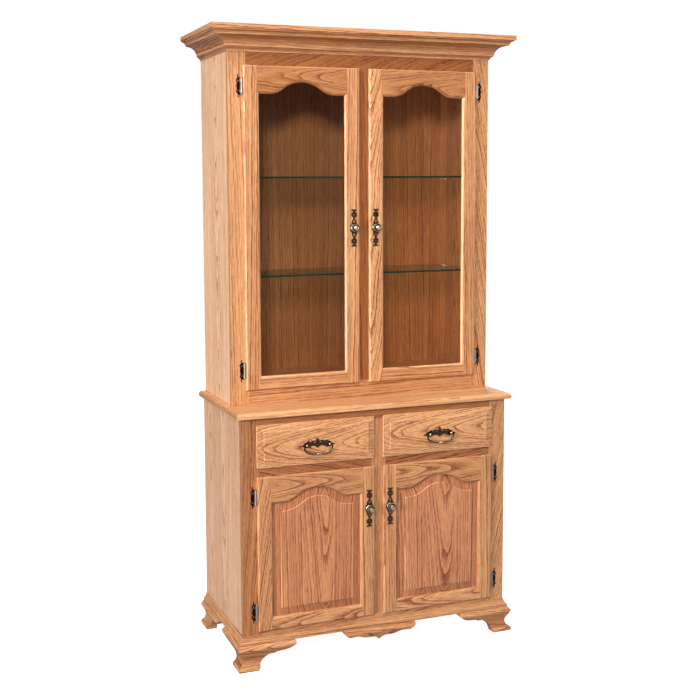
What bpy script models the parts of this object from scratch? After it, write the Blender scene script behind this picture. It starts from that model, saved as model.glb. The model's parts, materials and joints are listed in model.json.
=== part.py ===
"""Oak china hutch: a glazed display case on a two-drawer, two-door base cabinet.

Every piece is modelled at its real size in metres, +Z up, front towards -Y. The origin lies on
the floor, under the middle of the whole object's box.
"""

import math

import bmesh
import bpy
from mathutils import Matrix, Vector

# Gaps shared by all pieces
SEAT = 0.0003  # left between pieces that touch
FIT = 0.0015  # round a door or a drawer front in its opening
OVERRUN = 0.003  # how far a cutter runs past what it cuts

# Stock
BOARD = 0.019  # thickness of sides, face frames, floors and shelves
BACK_THICKNESS = 0.006
GLASS_SHELF_THICKNESS = 0.006
PANE_THICKNESS = 0.003

# Heights and plan sizes of the two cabinets
TOTAL_HEIGHT = 1.981
FOOT_HEIGHT = 0.080
COUNTER_TOP_Z = 0.810
COUNTER_THICKNESS = 0.019
COUNTER_OVERHANG = 0.017
BASE_WIDTH = 0.914
BASE_DEPTH = 0.424
HUTCH_WIDTH = 0.900
HUTCH_DEPTH = 0.308
CASE_TOP_DROP = 0.019  # the case stops this far below the crown's top

# Face frame of the display case
HUTCH_STILE = 0.0568
HUTCH_CENTRE_STILE = 0.0526
HUTCH_BOTTOM_RAIL = 0.0555
HUTCH_TOP_RAIL = 0.106

# Face frame of the base
BASE_STILE = 0.058
BASE_CENTRE_STILE = 0.0492
BASE_TOP_RAIL = 0.0315
BASE_MIDDLE_RAIL = 0.045
BASE_BOTTOM_RAIL = 0.0465
DRAWER_OPENING_HEIGHT = 0.117

# Lipped doors and drawer fronts
LIP_THICKNESS = 0.0095  # the part that stands in front of the face frame
LIP_OVERLAP = 0.0095  # how far it covers the face frame
PLUG_DEPTH = 0.0095  # the part that enters the opening
LIP_ROUND = 0.006
DOOR_STILE = 0.0505
DOOR_BOTTOM_RAIL = 0.043
DOOR_PEAK_RAIL = 0.0495  # top rail under the arch's peak
ARCH_RISE = 0.038
ARCH_SHOULDER = 0.034  # flat run at each end of the arch
COVE_SHARE = 0.4  # of the arch's two radii together, the lower arc's
STICKING = 0.008  # moulded edge round each panel
STICKING_FILLET = 0.001
STICKING_DEPTH = 0.0085
GROOVE_DEPTH = 0.008
GROOVE_WIDTH = 0.006
PANEL_PLAY = 0.001  # panel to the bottom of its groove
PANEL_BEVEL = 0.025
PANEL_STEP = 0.0016  # small shoulder round the raised field
FIELD_SETBACK = 0.0015
DRAWER_BEVEL = 0.022
DRAWER_EDGE = 0.0045  # thickness left at the rim of a drawer front

# Drawer boxes
DRAWER_SIDE = 0.012
DRAWER_BOTTOM = 0.006
DRAWER_BOTTOM_RAISE = 0.008
DRAWER_HEIGHT = 0.100
DRAWER_LENGTH = 0.360
DECK_THICKNESS = 0.012
GUIDE_HEIGHT = 0.022
GUIDE_WIDTH = 0.018
GUIDE_PLAY = 0.001

# Shelves
SHELF_Z = (1.2075, 1.520)  # undersides of the two glass shelves
SHELF_SIDE_PLAY = 0.0015
SHELF_FRONT_GAP = 0.012
SHELF_BACK_GAP = 0.003
PIN_RADIUS = 0.003
PIN_LENGTH = 0.010
PIN_INSET = 0.040  # from a shelf's front or back edge
BASE_SHELF_Z = 0.350
BASE_SHELF_DEPTH = 0.300
PLANK_WIDTH = 0.147
PLANK_GROOVE = 0.0016

# Crown, base moulding and feet
CROWN_HEIGHT = 0.0754
CROWN_OVERHANG = 0.067
MOULDING_HEIGHT = 0.026
MOULDING_PROUD = 0.0115
FOOT_PROUD = 0.022
FOOT_WAIST = 0.006
FOOT_LEG = 0.190  # length of each bracket from its outer corner
FOOT_PAD = 0.067
FOOT_INSET = 0.015  # how far the brackets reach under the cabinet
PENDANT_HALF = 0.1245
PENDANT_DROP = 0.045
COUNTER_ROUND = 0.008
COUNTER_STEP = 0.0015

# Knobs and their backplates
KNOB_PROJECTION = 0.026
KNOB_RADIUS = 0.0140
KNOB_STEM_RADIUS = 0.0055
KNOB_FOOT_RADIUS = 0.0085
PLATE_THICKNESS = 0.0016
PLATE_HEIGHT = 0.124
PLATE_WIDTH = 0.030
LOWER_KNOB_DROP = 0.134  # below the door's top

# Drawer pulls
PULL_CENTRES = 0.0762
PULL_LENGTH = 0.118
PULL_RISE = 0.021  # top of the backplate above the posts
PULL_DROP = 0.005  # posts below the middle of the drawer front
POST_RADIUS = 0.0041
POST_LENGTH = 0.0125
BAIL_RADIUS = 0.0022
BAIL_HALF = 0.0468
BAIL_PLAY = 0.0004  # round its pins
BAIL_DROP = 0.0300
BAIL_AXIS = 0.0085  # from the plate's face
BAIL_SQUARENESS = 0.8  # 1 is an ellipse, less is squarer

# Hinges
HINGE_INSET = 0.0635  # from a door's top or bottom to the hinge's middle
BARREL_RADIUS = 0.0038
BARREL_GAP = 0.0005
BARREL_HEIGHT = 0.048
HINGE_PIN_RADIUS = 0.0015
HINGE_BORE = 0.0018
KNUCKLE_GAP = 0.0003
LEAF_THICKNESS = 0.0012
LEAF_HEIGHT = 0.070
LEAF_WIDTH = 0.013
DOOR_LEAF_HEIGHT = 0.044
DOOR_LEAF_LENGTH = 0.030

# Places worked out from the sizes above
DOOR_PROUD = SEAT + LIP_THICKNESS
REAR_Y = (BASE_DEPTH + DOOR_PROUD + KNOB_PROJECTION) / 2
BASE_FRONT_Y = REAR_Y - BASE_DEPTH
HUTCH_FRONT_Y = REAR_Y - HUTCH_DEPTH
CASE_TOP_Z = TOTAL_HEIGHT - CASE_TOP_DROP
COUNTER_BOTTOM_Z = COUNTER_TOP_Z - COUNTER_THICKNESS
HUTCH_BOTTOM_Z = COUNTER_TOP_Z + SEAT
BASE_TOP_Z = COUNTER_BOTTOM_Z - SEAT
BASE_BOTTOM_Z = FOOT_HEIGHT + SEAT
DRAWER_TOP_Z = BASE_TOP_Z - BASE_TOP_RAIL
DRAWER_FLOOR_Z = DRAWER_TOP_Z - DRAWER_OPENING_HEIGHT
BASE_DOOR_TOP_Z = DRAWER_FLOOR_Z - BASE_MIDDLE_RAIL
BASE_DOOR_BOTTOM_Z = BASE_BOTTOM_Z + BASE_BOTTOM_RAIL
HUTCH_DOOR_TOP_Z = CASE_TOP_Z - HUTCH_TOP_RAIL
HUTCH_DOOR_BOTTOM_Z = HUTCH_BOTTOM_Z + HUTCH_BOTTOM_RAIL
HINGE_X = BARREL_RADIUS + BARREL_GAP  # axis outside the door's edge
HINGE_Y = SEAT + BARREL_RADIUS  # axis in front of the face frame
CIRCLE_STEPS = 16
ARCH_STEPS = 7
CURVE_STEPS = 4


def clear_scene():
    for thing in list(bpy.data.objects):
        bpy.data.objects.remove(thing, do_unlink=True)


def material(name, colour, roughness, metallic=0.0, transmission=0.0):
    made = bpy.data.materials.new(name)
    made.use_nodes = True
    shader = made.node_tree.nodes["Principled BSDF"]
    shader.inputs["Base Color"].default_value = (*colour, 1.0)
    shader.inputs["Roughness"].default_value = roughness
    shader.inputs["Metallic"].default_value = metallic
    shader.inputs["Transmission Weight"].default_value = transmission
    made.diffuse_color = (*colour, 1.0)
    return made


def make_materials():
    return {
        "oak_face": material("oak_face", (0.62, 0.30, 0.12), 0.38),
        "oak_side": material("oak_side", (0.66, 0.38, 0.20), 0.40),
        "oak_top": material("oak_top", (0.68, 0.38, 0.18), 0.34),
        "oak_inside": material("oak_inside", (0.34, 0.15, 0.06), 0.50),
        "oak_box": material("oak_box", (0.70, 0.46, 0.26), 0.50),
        "glass": material("glass", (0.88, 0.95, 0.92), 0.03, transmission=1.0),
        "antique_brass": material("antique_brass", (0.42, 0.33, 0.20), 0.35, metallic=1.0),
        "dark_bronze": material("dark_bronze", (0.16, 0.10, 0.07), 0.45, metallic=1.0),
    }


def add_object(name, bm, look, joint=None):
    """One closed body from a bmesh. A moving piece hangs from its joint's empty."""
    bmesh.ops.recalc_face_normals(bm, faces=bm.faces)
    mesh = bpy.data.meshes.new(name)
    bm.to_mesh(mesh)
    bm.free()
    mesh.shade_smooth()
    made = bpy.data.objects.new(name, mesh)
    if look is not None:
        mesh.materials.append(look)
    bpy.context.scene.collection.objects.link(made)
    if joint is not None:
        hang(made, joint)
    return made


def hang(made, joint):
    made.data.transform(Matrix.Translation(-joint.location))
    made.parent = joint


def joint_empty(name, place):
    empty = bpy.data.objects.new(name, None)
    empty.location = place
    bpy.context.scene.collection.objects.link(empty)
    return empty


def add_box(bm, x, y, z):
    """A box between the two ends given for each axis, in either order."""
    size = Vector((abs(x[1] - x[0]), abs(y[1] - y[0]), abs(z[1] - z[0])))
    middle = Vector((sum(x), sum(y), sum(z))) / 2
    place = Matrix.Translation(middle) @ Matrix.Diagonal(size.to_4d())
    bmesh.ops.create_cube(bm, size=1.0, matrix=place)


def board(name, x, y, z, look, joint=None):
    bm = bmesh.new()
    add_box(bm, x, y, z)
    return add_object(name, bm, look, joint)


def swept(rings):
    """A closed body through rings of as many points each."""
    bm = bmesh.new()
    loops = [[bm.verts.new(point) for point in ring] for ring in rings]
    for near, far in zip(loops, loops[1:]):
        for k in range(len(near)):
            bm.faces.new((near[k - 1], near[k], far[k], far[k - 1]))
    bm.faces.new(loops[0])
    bm.faces.new(loops[-1])
    return bm


def prism(outline, axis, ends):
    """An outline in the two other axes, run along one axis between two ends."""
    rings = []
    for end in ends:
        ring = []
        for a, b in outline:
            point = [a, b]
            point.insert("xyz".index(axis), end)
            ring.append(tuple(point))
        rings.append(ring)
    return swept(rings)


def circle(radius, centre, steps=CIRCLE_STEPS):
    turns = [2 * math.pi * step / steps for step in range(steps)]
    return [(centre[0] + radius * math.cos(t), centre[1] + radius * math.sin(t)) for t in turns]


def turned(profile, centre, axis, steps=CIRCLE_STEPS):
    """A turned body: profile gives (radius, place along the axis), centre the other two places."""
    rings = []
    for radius, along in profile:
        ring = []
        for a, b in circle(radius, centre, steps):
            point = [a, b]
            point.insert("xyz".index(axis), along)
            ring.append(tuple(point))
        rings.append(ring)
    return swept(rings)


def boolean(target, bm, operation):
    """Leaves a Boolean on the target, with its operand kept as a wire helper."""
    helper = add_object(f"{target.name}_{operation.lower()}", bm, None)
    helper.hide_render = True
    helper.display_type = "WIRE"
    modifier = target.modifiers.new(helper.name, "BOOLEAN")
    modifier.operation = operation
    modifier.object = helper
    modifier.solver = "EXACT"
    return helper


def cut(target, bm):
    return boolean(target, bm, "DIFFERENCE")


def unite(target, bm):
    return boolean(target, bm, "UNION")


def smooth_curve(points, steps=CURVE_STEPS):
    """A Catmull-Rom curve through the points, with as many steps between each two."""
    ends = [points[0], *points, points[-1]]
    curve = []
    for a, b, c, d in zip(ends, ends[1:], ends[2:], ends[3:]):
        for step in range(steps):
            t = step / steps
            curve.append(tuple(
                ((2 * q) + (r - p) * t + (2 * p - 5 * q + 4 * r - s) * t**2
                 + (3 * q - p - 3 * r + s) * t**3) / 2
                for p, q, r, s in zip(a, b, c, d)))
    curve.append(tuple(points[-1]))
    return curve


def arc(centre, radius, start, end, steps=CURVE_STEPS):
    """Points of an arc, with its two angles in degrees."""
    angles = [math.radians(start + (end - start) * k / steps) for k in range(steps + 1)]
    return [(centre[0] + radius * math.cos(a), centre[1] + radius * math.sin(a)) for a in angles]


# Carcases


def hutch_case(looks):
    half = HUTCH_WIDTH / 2
    inner = half - BOARD
    behind_frame = HUTCH_FRONT_Y + BOARD + SEAT
    before_back = REAR_Y - BACK_THICKNESS - SEAT
    height = (HUTCH_BOTTOM_Z, CASE_TOP_Z)
    for side, name in ((-1, "hutch_side_left"), (1, "hutch_side_right")):
        panel = board(name, (side * half, side * inner), (behind_frame, REAR_Y), height,
                      looks["oak_side"])
        for shelf in SHELF_Z:
            add_shelf_pins(panel, side * inner, -side, shelf, glass_shelf_ends())
    width = (-inner + SEAT, inner - SEAT)
    depth = (behind_frame, before_back)
    board("hutch_top_board", width, depth, (CASE_TOP_Z - BOARD, CASE_TOP_Z), looks["oak_inside"])
    board("hutch_floor_board", width, depth, (HUTCH_DOOR_BOTTOM_Z - BOARD, HUTCH_DOOR_BOTTOM_Z),
          looks["oak_inside"])
    plank_back("hutch_back_panel", inner - SEAT, height, looks["oak_inside"])
    face_frame(
        "hutch_face_frame", half, HUTCH_FRONT_Y, height,
        [hutch_opening(side) for side in (-1, 1)], looks["oak_face"])


def hutch_opening(side):
    x = (side * HUTCH_CENTRE_STILE / 2, side * (HUTCH_WIDTH / 2 - HUTCH_STILE))
    return sorted(x), (HUTCH_DOOR_BOTTOM_Z, HUTCH_DOOR_TOP_Z)


def base_openings(side):
    x = sorted((side * BASE_CENTRE_STILE / 2, side * (BASE_WIDTH / 2 - BASE_STILE)))
    return (x, (BASE_DOOR_BOTTOM_Z, BASE_DOOR_TOP_Z)), (x, (DRAWER_FLOOR_Z, DRAWER_TOP_Z))


def face_frame(name, half, front_y, height, openings, look):
    frame = board(name, (-half, half), (front_y, front_y + BOARD), height, look)
    for x, z in openings:
        opening = bmesh.new()
        add_box(opening, x, (front_y - OVERRUN, front_y + BOARD + OVERRUN), z)
        cut(frame, opening)


def plank_back(name, half, height, look):
    """A back of tongue-and-groove planks, shown by V grooves on its front."""
    front = REAR_Y - BACK_THICKNESS
    seams = int(half / PLANK_WIDTH + 0.5)
    outline = [(-half, REAR_Y), (-half, front)]
    for k in range(-seams, seams):
        x = (k + 0.5) * PLANK_WIDTH
        if abs(x) + PLANK_GROOVE < half:
            outline += [(x - PLANK_GROOVE, front), (x, front + PLANK_GROOVE),
                        (x + PLANK_GROOVE, front)]
    outline += [(half, front), (half, REAR_Y)]
    add_object(name, prism(outline, "z", height), look)


def glass_shelf_ends():
    return HUTCH_FRONT_Y + BOARD + SHELF_FRONT_GAP, REAR_Y - BACK_THICKNESS - SHELF_BACK_GAP


def base_shelf_ends():
    back = REAR_Y - BACK_THICKNESS - SHELF_BACK_GAP
    return back - BASE_SHELF_DEPTH, back


def add_shelf_pins(panel, x, inward, shelf_z, shelf_ends):
    """Two pins in a side panel, just under a shelf."""
    for y in (shelf_ends[0] + PIN_INSET, shelf_ends[1] - PIN_INSET):
        z = shelf_z - SEAT - PIN_RADIUS
        run = [(PIN_RADIUS, x - inward * OVERRUN), (PIN_RADIUS, x + inward * PIN_LENGTH)]
        unite(panel, turned(run, (y, z), "x", CIRCLE_STEPS // 2))


def glass_shelves(looks):
    half = HUTCH_WIDTH / 2 - BOARD - SHELF_SIDE_PLAY
    for name, z in zip(("glass_shelf_lower", "glass_shelf_upper"), SHELF_Z):
        board(name, (-half, half), glass_shelf_ends(), (z, z + GLASS_SHELF_THICKNESS),
              looks["glass"])


def base_case(looks):
    half = BASE_WIDTH / 2
    inner = half - BOARD
    behind_frame = BASE_FRONT_Y + BOARD + SEAT
    before_back = REAR_Y - BACK_THICKNESS - SEAT
    height = (BASE_BOTTOM_Z, BASE_TOP_Z)
    for side, name in ((-1, "base_side_left"), (1, "base_side_right")):
        panel = board(name, (side * half, side * inner), (behind_frame, REAR_Y), height,
                      looks["oak_side"])
        add_shelf_pins(panel, side * inner, -side, BASE_SHELF_Z, base_shelf_ends())
    width = (-inner + SEAT, inner - SEAT)
    board("base_floor_board", width, (behind_frame, before_back),
          (BASE_DOOR_BOTTOM_Z - BOARD, BASE_DOOR_BOTTOM_Z), looks["oak_box"])
    board("base_back_panel", width, (REAR_Y - BACK_THICKNESS, REAR_Y), height, looks["oak_box"])
    play = SHELF_SIDE_PLAY
    board("base_shelf", (-inner + play, inner - play), base_shelf_ends(),
          (BASE_SHELF_Z, BASE_SHELF_Z + BOARD), looks["oak_box"])
    openings = [opening for side in (-1, 1) for opening in base_openings(side)]
    face_frame("base_face_frame", half, BASE_FRONT_Y, height, openings, looks["oak_face"])
    drawer_deck(inner - SEAT, (behind_frame, before_back), looks["oak_box"])


def drawer_deck(half, depth, look):
    """The board that both drawers run on, with a guide beside each of their sides."""
    floor, top = DRAWER_FLOOR_Z, DRAWER_FLOOR_Z + GUIDE_HEIGHT
    inner_face = drawer_box_x(1)[0] - GUIDE_PLAY
    outer_face = drawer_box_x(1)[1] + GUIDE_PLAY
    right = [(inner_face, top), (inner_face, floor), (outer_face, floor), (outer_face, top),
             (outer_face + GUIDE_WIDTH, top), (outer_face + GUIDE_WIDTH, floor), (half, floor)]
    left = [(-x, z) for x, z in reversed(right)]
    bottom = floor - DECK_THICKNESS
    outline = left + right + [(half, bottom), (-half, bottom)]
    add_object("drawer_deck", prism(outline, "y", depth), look)


# Mouldings, counter and feet


def three_sides(profile, half_width, front_y, back_y=REAR_Y):
    """Rings of a moulding mitred round the left, front and right of a cabinet."""
    return [
        [(-half_width - out, back_y, z) for out, z in profile],
        [(-half_width - out, front_y - out, z) for out, z in profile],
        [(half_width + out, front_y - out, z) for out, z in profile],
        [(half_width + out, back_y, z) for out, z in profile],
    ]


def crown_profile():
    """Fillet, bead, cove, ovolo and a top fascia, as (distance out, height)."""
    out, low, high = CROWN_OVERHANG, TOTAL_HEIGHT - CROWN_HEIGHT, CROWN_HEIGHT
    bead = [(0.045, 0.0), (0.055, 0.05), (0.09, 0.11), (0.16, 0.145), (0.195, 0.18)]
    cove = [(0.205, 0.23), (0.225, 0.30), (0.275, 0.385), (0.345, 0.465), (0.42, 0.52),
            (0.53, 0.565), (0.64, 0.59), (0.75, 0.605)]
    ovolo = [(0.765, 0.66), (0.79, 0.705), (0.83, 0.74), (0.89, 0.76), (0.91, 0.765)]
    fascia = [(0.915, 0.80), (1.0, 0.81), (1.0, 1.0)]
    shares = bead + cove + ovolo + fascia
    return ([(SEAT, low)] + [(a * out, low + b * high) for a, b in shares]
            + [(SEAT, TOTAL_HEIGHT)])


def crown_moulding(looks):
    rings = three_sides(crown_profile(), HUTCH_WIDTH / 2, HUTCH_FRONT_Y)
    add_object("crown_moulding", swept(rings), looks["oak_face"])


def base_moulding(looks):
    """A cove over a square fillet, planted round the foot of the base."""
    proud, high, low = MOULDING_PROUD, MOULDING_HEIGHT, BASE_BOTTOM_Z
    curve = smooth_curve([
        (proud * 0.18, low + high * 0.94), (proud * 0.40, low + high * 0.66),
        (proud * 0.72, low + high * 0.46), (proud, low + high * 0.34)], 3)
    profile = [(SEAT, low + high), (proud * 0.18, low + high)] + curve
    profile += [(proud, low), (SEAT, low)]
    add_object("base_moulding", swept(three_sides(profile, BASE_WIDTH / 2, BASE_FRONT_Y)),
               looks["oak_face"])


def countertop(looks):
    """A board with a stepped round edge on its front and sides."""
    edge = [(COUNTER_STEP, COUNTER_BOTTOM_Z), (0, COUNTER_BOTTOM_Z + COUNTER_STEP)]
    lowest = COUNTER_TOP_Z - COUNTER_STEP - COUNTER_ROUND
    edge += [(COUNTER_ROUND - x, z) for x, z in arc((0, lowest), COUNTER_ROUND, 0, 90)]
    edge += [(COUNTER_ROUND, COUNTER_TOP_Z)]
    rings = []
    for inset, z in edge:
        half = BASE_WIDTH / 2 + COUNTER_OVERHANG - inset
        front = BASE_FRONT_Y - COUNTER_OVERHANG + inset
        rings.append([(-half, front, z), (half, front, z), (half, REAR_Y, z), (-half, REAR_Y, z)])
    add_object("countertop", swept(rings), looks["oak_top"])


def ogee_profile():
    """The bulging face that the feet and the pendant share, with a flat back."""
    waist, proud, high = FOOT_WAIST, FOOT_PROUD, FOOT_HEIGHT
    face = smooth_curve([
        (proud * 0.62, high), (proud * 0.97, high * 0.86), (proud * 0.62, high * 0.66),
        (waist, high * 0.46), (waist * 1.4, high * 0.26), (proud * 0.95, high * 0.15)], 3)
    face += [(proud, high * 0.05), (proud * 0.9, 0)]
    return face + [(-FOOT_INSET, 0), (-FOOT_INSET, high)]


def bracket_waste():
    """What is sawn away under a bracket, as (distance from its outer corner, height)."""
    leg, pad, high = FOOT_LEG, FOOT_PAD, FOOT_HEIGHT
    span = leg - pad
    inner = smooth_curve([
        (pad, high * 0.05), (pad + span * 0.08, high * 0.30), (pad + span * 0.28, high * 0.54),
        (pad + span * 0.45, high * 0.56)], 3)
    outer = smooth_curve([
        (pad + span * 0.48, high * 0.62), (pad + span * 0.80, high * 0.68),
        (leg, high * 0.88), (leg - span * 0.03, high + OVERRUN)], 3)
    return ([(pad, -OVERRUN)] + inner + outer
            + [(leg + OVERRUN, high + OVERRUN), (leg + OVERRUN, -OVERRUN)])


def front_foot(side, name, look):
    half = BASE_WIDTH / 2
    profile = ogee_profile()
    corner_x = side * (half + FOOT_PROUD)
    corner_y = BASE_FRONT_Y - FOOT_PROUD
    rings = [
        [(side * (half + out), corner_y + FOOT_LEG, z) for out, z in profile],
        [(side * (half + out), BASE_FRONT_Y - out, z) for out, z in profile],
        [(corner_x - side * FOOT_LEG, BASE_FRONT_Y - out, z) for out, z in profile],
    ]
    foot = add_object(name, swept(rings), look)
    waste = bracket_waste()
    front = [(corner_x - side * s, z) for s, z in waste]
    cut(foot, prism(front, "y", (corner_y - OVERRUN, BASE_FRONT_Y + FOOT_INSET + OVERRUN)))
    cut_side_bracket(foot, side, [(corner_y + s, z) for s, z in waste])


def cut_side_bracket(foot, side, outline):
    half = BASE_WIDTH / 2
    ends = (side * (half + FOOT_PROUD + OVERRUN), side * (half - FOOT_INSET - OVERRUN))
    cut(foot, prism(outline, "x", ends))


def back_foot(side, name, look):
    """One ogee bracket along the side, and a plain one across the back."""
    half = BASE_WIDTH / 2
    profile = ogee_profile()
    rings = [[(side * (half + out), y, z) for out, z in profile]
             for y in (REAR_Y - FOOT_LEG, REAR_Y)]
    foot = add_object(name, swept(rings), look)
    cut_side_bracket(foot, side, [(REAR_Y - s, z) for s, z in bracket_waste()])
    reach = FOOT_PROUD + FOOT_INSET
    waste = [(s, z) for s, z in bracket_waste()]
    plain = [(side * (half + FOOT_PROUD - s), z) for s, z in waste]
    edge = side * (half - FOOT_INSET + OVERRUN)
    brace = bmesh.new()
    add_box(brace, (edge, side * (half + FOOT_PROUD - FOOT_LEG)),
            (REAR_Y - reach / 2, REAR_Y), (0, FOOT_HEIGHT))
    unite(foot, brace)
    cut(foot, prism(plain, "y", (REAR_Y - reach, REAR_Y + OVERRUN)))


def feet(looks):
    for side, word in ((-1, "left"), (1, "right")):
        front_foot(side, f"foot_front_{word}", looks["oak_face"])
        back_foot(side, f"foot_back_{word}", looks["oak_face"])


def apron_pendant(looks):
    """The shaped drop under the middle of the front, from the same ogee stock."""
    high, half, drop = FOOT_HEIGHT, PENDANT_HALF, PENDANT_DROP
    rings = [[(x, BASE_FRONT_Y - out, z) for out, z in ogee_profile()] for x in (-half, half)]
    pendant = add_object("apron_pendant", swept(rings), looks["oak_face"])
    ends = smooth_curve([(half, high + OVERRUN), (half * 0.99, high - drop * 0.22),
                         (half * 0.86, high - drop * 0.53)], 3)
    run = smooth_curve([(half * 0.60, high - drop * 0.50), (half * 0.40, high - drop * 0.70),
                        (half * 0.14, high - drop * 0.74), (0, high - drop)], 3)
    right = ends + run
    outline = right + [(-x, z) for x, z in reversed(right[:-1])]
    boolean(pendant, prism(outline, "y", (BASE_FRONT_Y - FOOT_PROUD - OVERRUN,
                                          BASE_FRONT_Y + FOOT_INSET + OVERRUN)), "INTERSECT")


# Doors and drawer fronts


def rectangle(x, z, y, inset=0):
    return [(x[0] + inset, y, z[0] + inset), (x[1] - inset, y, z[0] + inset),
            (x[1] - inset, y, z[1] - inset), (x[0] + inset, y, z[1] - inset)]


def lipped(x, z):
    """The outer edges of what covers an opening."""
    return ((x[0] - LIP_OVERLAP, x[1] + LIP_OVERLAP), (z[0] - LIP_OVERLAP, z[1] + LIP_OVERLAP))


def plug_rings(x, z, front):
    """The back of the lip and the part that enters the opening, for a front at this y."""
    lip_back = front + LIP_THICKNESS
    inset = LIP_OVERLAP + FIT
    return [rectangle(x, z, lip_back), rectangle(x, z, lip_back, inset),
            rectangle(x, z, lip_back + PLUG_DEPTH, inset)]


def arch_curve(run):
    """Half of a cathedral arch, from its shoulder up to its peak: a cove, then a crown arc.

    Gives (distance from the middle, height above the shoulder, outward normal) for each point.
    """
    radii = (run**2 + ARCH_RISE**2) / (2 * ARCH_RISE)
    cove, crown = radii * COVE_SHARE, radii * (1 - COVE_SHARE)
    turn = 2 * math.atan2(ARCH_RISE, run)
    half = []
    for k in range(ARCH_STEPS + 1):
        a = turn * k / ARCH_STEPS
        up = Vector((math.sin(a), math.cos(a)))
        half.append((run - cove * up.x, cove * (1 - up.y), up))
    for k in range(1, ARCH_STEPS + 1):
        a = turn * (1 - k / ARCH_STEPS)
        up = Vector((math.sin(a), math.cos(a)))
        half.append((crown * up.x, ARCH_RISE - crown * (1 - up.y), up))
    return half


def arched(x, z, y, grow=0):
    """An opening with a cathedral top, grown outwards by this much. z has floor and shoulder."""
    middle = (x[0] + x[1]) / 2
    half = arch_curve((x[1] - x[0]) / 2 - ARCH_SHOULDER)
    left = [(middle - away - grow * up.x, y, z[1] + rise + grow * up.y) for away, rise, up in half]
    right = [(2 * middle - px, py, pz) for px, py, pz in reversed(left[:-1])]
    points = [(x[0] - grow, y, z[0] - grow), (x[0] - grow, y, z[1] + grow)]
    points += left + right
    points += [(x[1] + grow, y, z[1] + grow), (x[1] + grow, y, z[0] - grow)]
    return points


def sight_size(x, z):
    """The visible opening inside a door's frame: its width, floor and shoulder."""
    across = (x[0] + DOOR_STILE, x[1] - DOOR_STILE)
    return across, (z[0] + DOOR_BOTTOM_RAIL, z[1] - DOOR_PEAK_RAIL - ARCH_RISE)


def sticking_rings(x, z, front):
    """The moulded edge, from the frame's face in to the sight size."""
    rings = [arched(x, z, front - OVERRUN, STICKING)]
    depth = STICKING_DEPTH - STICKING_FILLET
    for k in range(CURVE_STEPS + 1):
        a = math.radians(90 * k / CURVE_STEPS)
        y = front + STICKING_FILLET + depth * (1 - math.cos(a))
        rings.append(arched(x, z, y, STICKING * (1 - math.sin(a))))
    return rings


def door_frame(name, x, z, front, look, joint, hinge_side, glazed):
    """Stiles and rails glued up as one frame, with a lip all round."""
    rings = []
    for k in range(CURVE_STEPS):
        a = math.radians(90 * k / (CURVE_STEPS - 1))
        rings.append(rectangle(x, z, front + LIP_ROUND * (1 - math.cos(a)),
                               LIP_ROUND * (1 - math.sin(a))))
    frame = add_object(name, swept(rings + plug_rings(x, z, front)), look, joint)
    sight_x, sight_z = sight_size(x, z)
    back = front + LIP_THICKNESS + PLUG_DEPTH
    rings = sticking_rings(sight_x, sight_z, front)
    if not glazed:
        for y in (front + STICKING_DEPTH + SEAT, front + STICKING_DEPTH + GROOVE_WIDTH):
            pair = [arched(sight_x, sight_z, y), arched(sight_x, sight_z, y, GROOVE_DEPTH)]
            rings += pair if len(rings) == CURVE_STEPS + 2 else pair[::-1]
    rings.append(arched(sight_x, sight_z, back + OVERRUN))
    cut(frame, swept(rings))
    if glazed:
        rabbet = bmesh.new()
        grow = GROOVE_DEPTH
        peak = sight_z[1] + ARCH_RISE
        add_box(rabbet, (sight_x[0] - grow, sight_x[1] + grow),
                (front + STICKING_DEPTH + SEAT, back + OVERRUN), (sight_z[0] - grow, peak + grow))
        cut(frame, rabbet)
    for place in hinge_heights(z):
        cut(frame, hinge_mortise(x, front, place, hinge_side))
    return frame


def raised_panel(name, x, z, front, look, joint):
    """A bevelled panel held by its tongue in the frame's groove."""
    sight_x, sight_z = sight_size(x, z)
    tongue = GROOVE_DEPTH - PANEL_PLAY
    tongue_front = front + STICKING_DEPTH + 2 * SEAT
    tongue_back = front + STICKING_DEPTH + GROOVE_WIDTH - SEAT
    field = front + FIELD_SETBACK
    levels = [(tongue, tongue_back), (tongue, tongue_front), (-SEAT, tongue_front),
              (-PANEL_BEVEL, field + PANEL_STEP), (-PANEL_BEVEL - PANEL_STEP / 2, field)]
    rings = [arched(sight_x, sight_z, y, grow) for grow, y in levels]
    add_object(name, swept(rings), look, joint)


def glass_pane(name, x, z, front, look, joint):
    sight_x, sight_z = sight_size(x, z)
    grow = GROOVE_DEPTH - PANEL_PLAY
    near = front + STICKING_DEPTH + 2 * SEAT
    board(name, (sight_x[0] - grow, sight_x[1] + grow), (near, near + PANE_THICKNESS),
          (sight_z[0] - grow, sight_z[1] + ARCH_RISE + grow), look, joint)


def hinge_heights(z):
    return z[0] + HINGE_INSET, z[1] - HINGE_INSET


def hinge_frame(x, hinge_side):
    """The door's hinged edge, and the direction from it into the door."""
    return (x[0], 1) if hinge_side < 0 else (x[1], -1)


def hinge_mortise(x, front, height, hinge_side):
    """A pocket behind the lip and down the plug's edge, where the door leaf lies."""
    edge, inward = hinge_frame(x, hinge_side)
    lip_back = front + LIP_THICKNESS
    deep = LEAF_THICKNESS + 2 * SEAT
    plug = LIP_OVERLAP + FIT
    outline = [(-OVERRUN, lip_back - deep), (plug + deep, lip_back - deep),
               (plug + deep, lip_back + PLUG_DEPTH + OVERRUN), (plug - OVERRUN / 2,
               lip_back + PLUG_DEPTH + OVERRUN), (plug - OVERRUN / 2, lip_back + OVERRUN / 2),
               (-OVERRUN, lip_back + OVERRUN / 2)]
    tall = DOOR_LEAF_HEIGHT / 2 + SEAT
    return prism([(edge + inward * a, y) for a, y in outline], "z",
                 (height - tall, height + tall))


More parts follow.
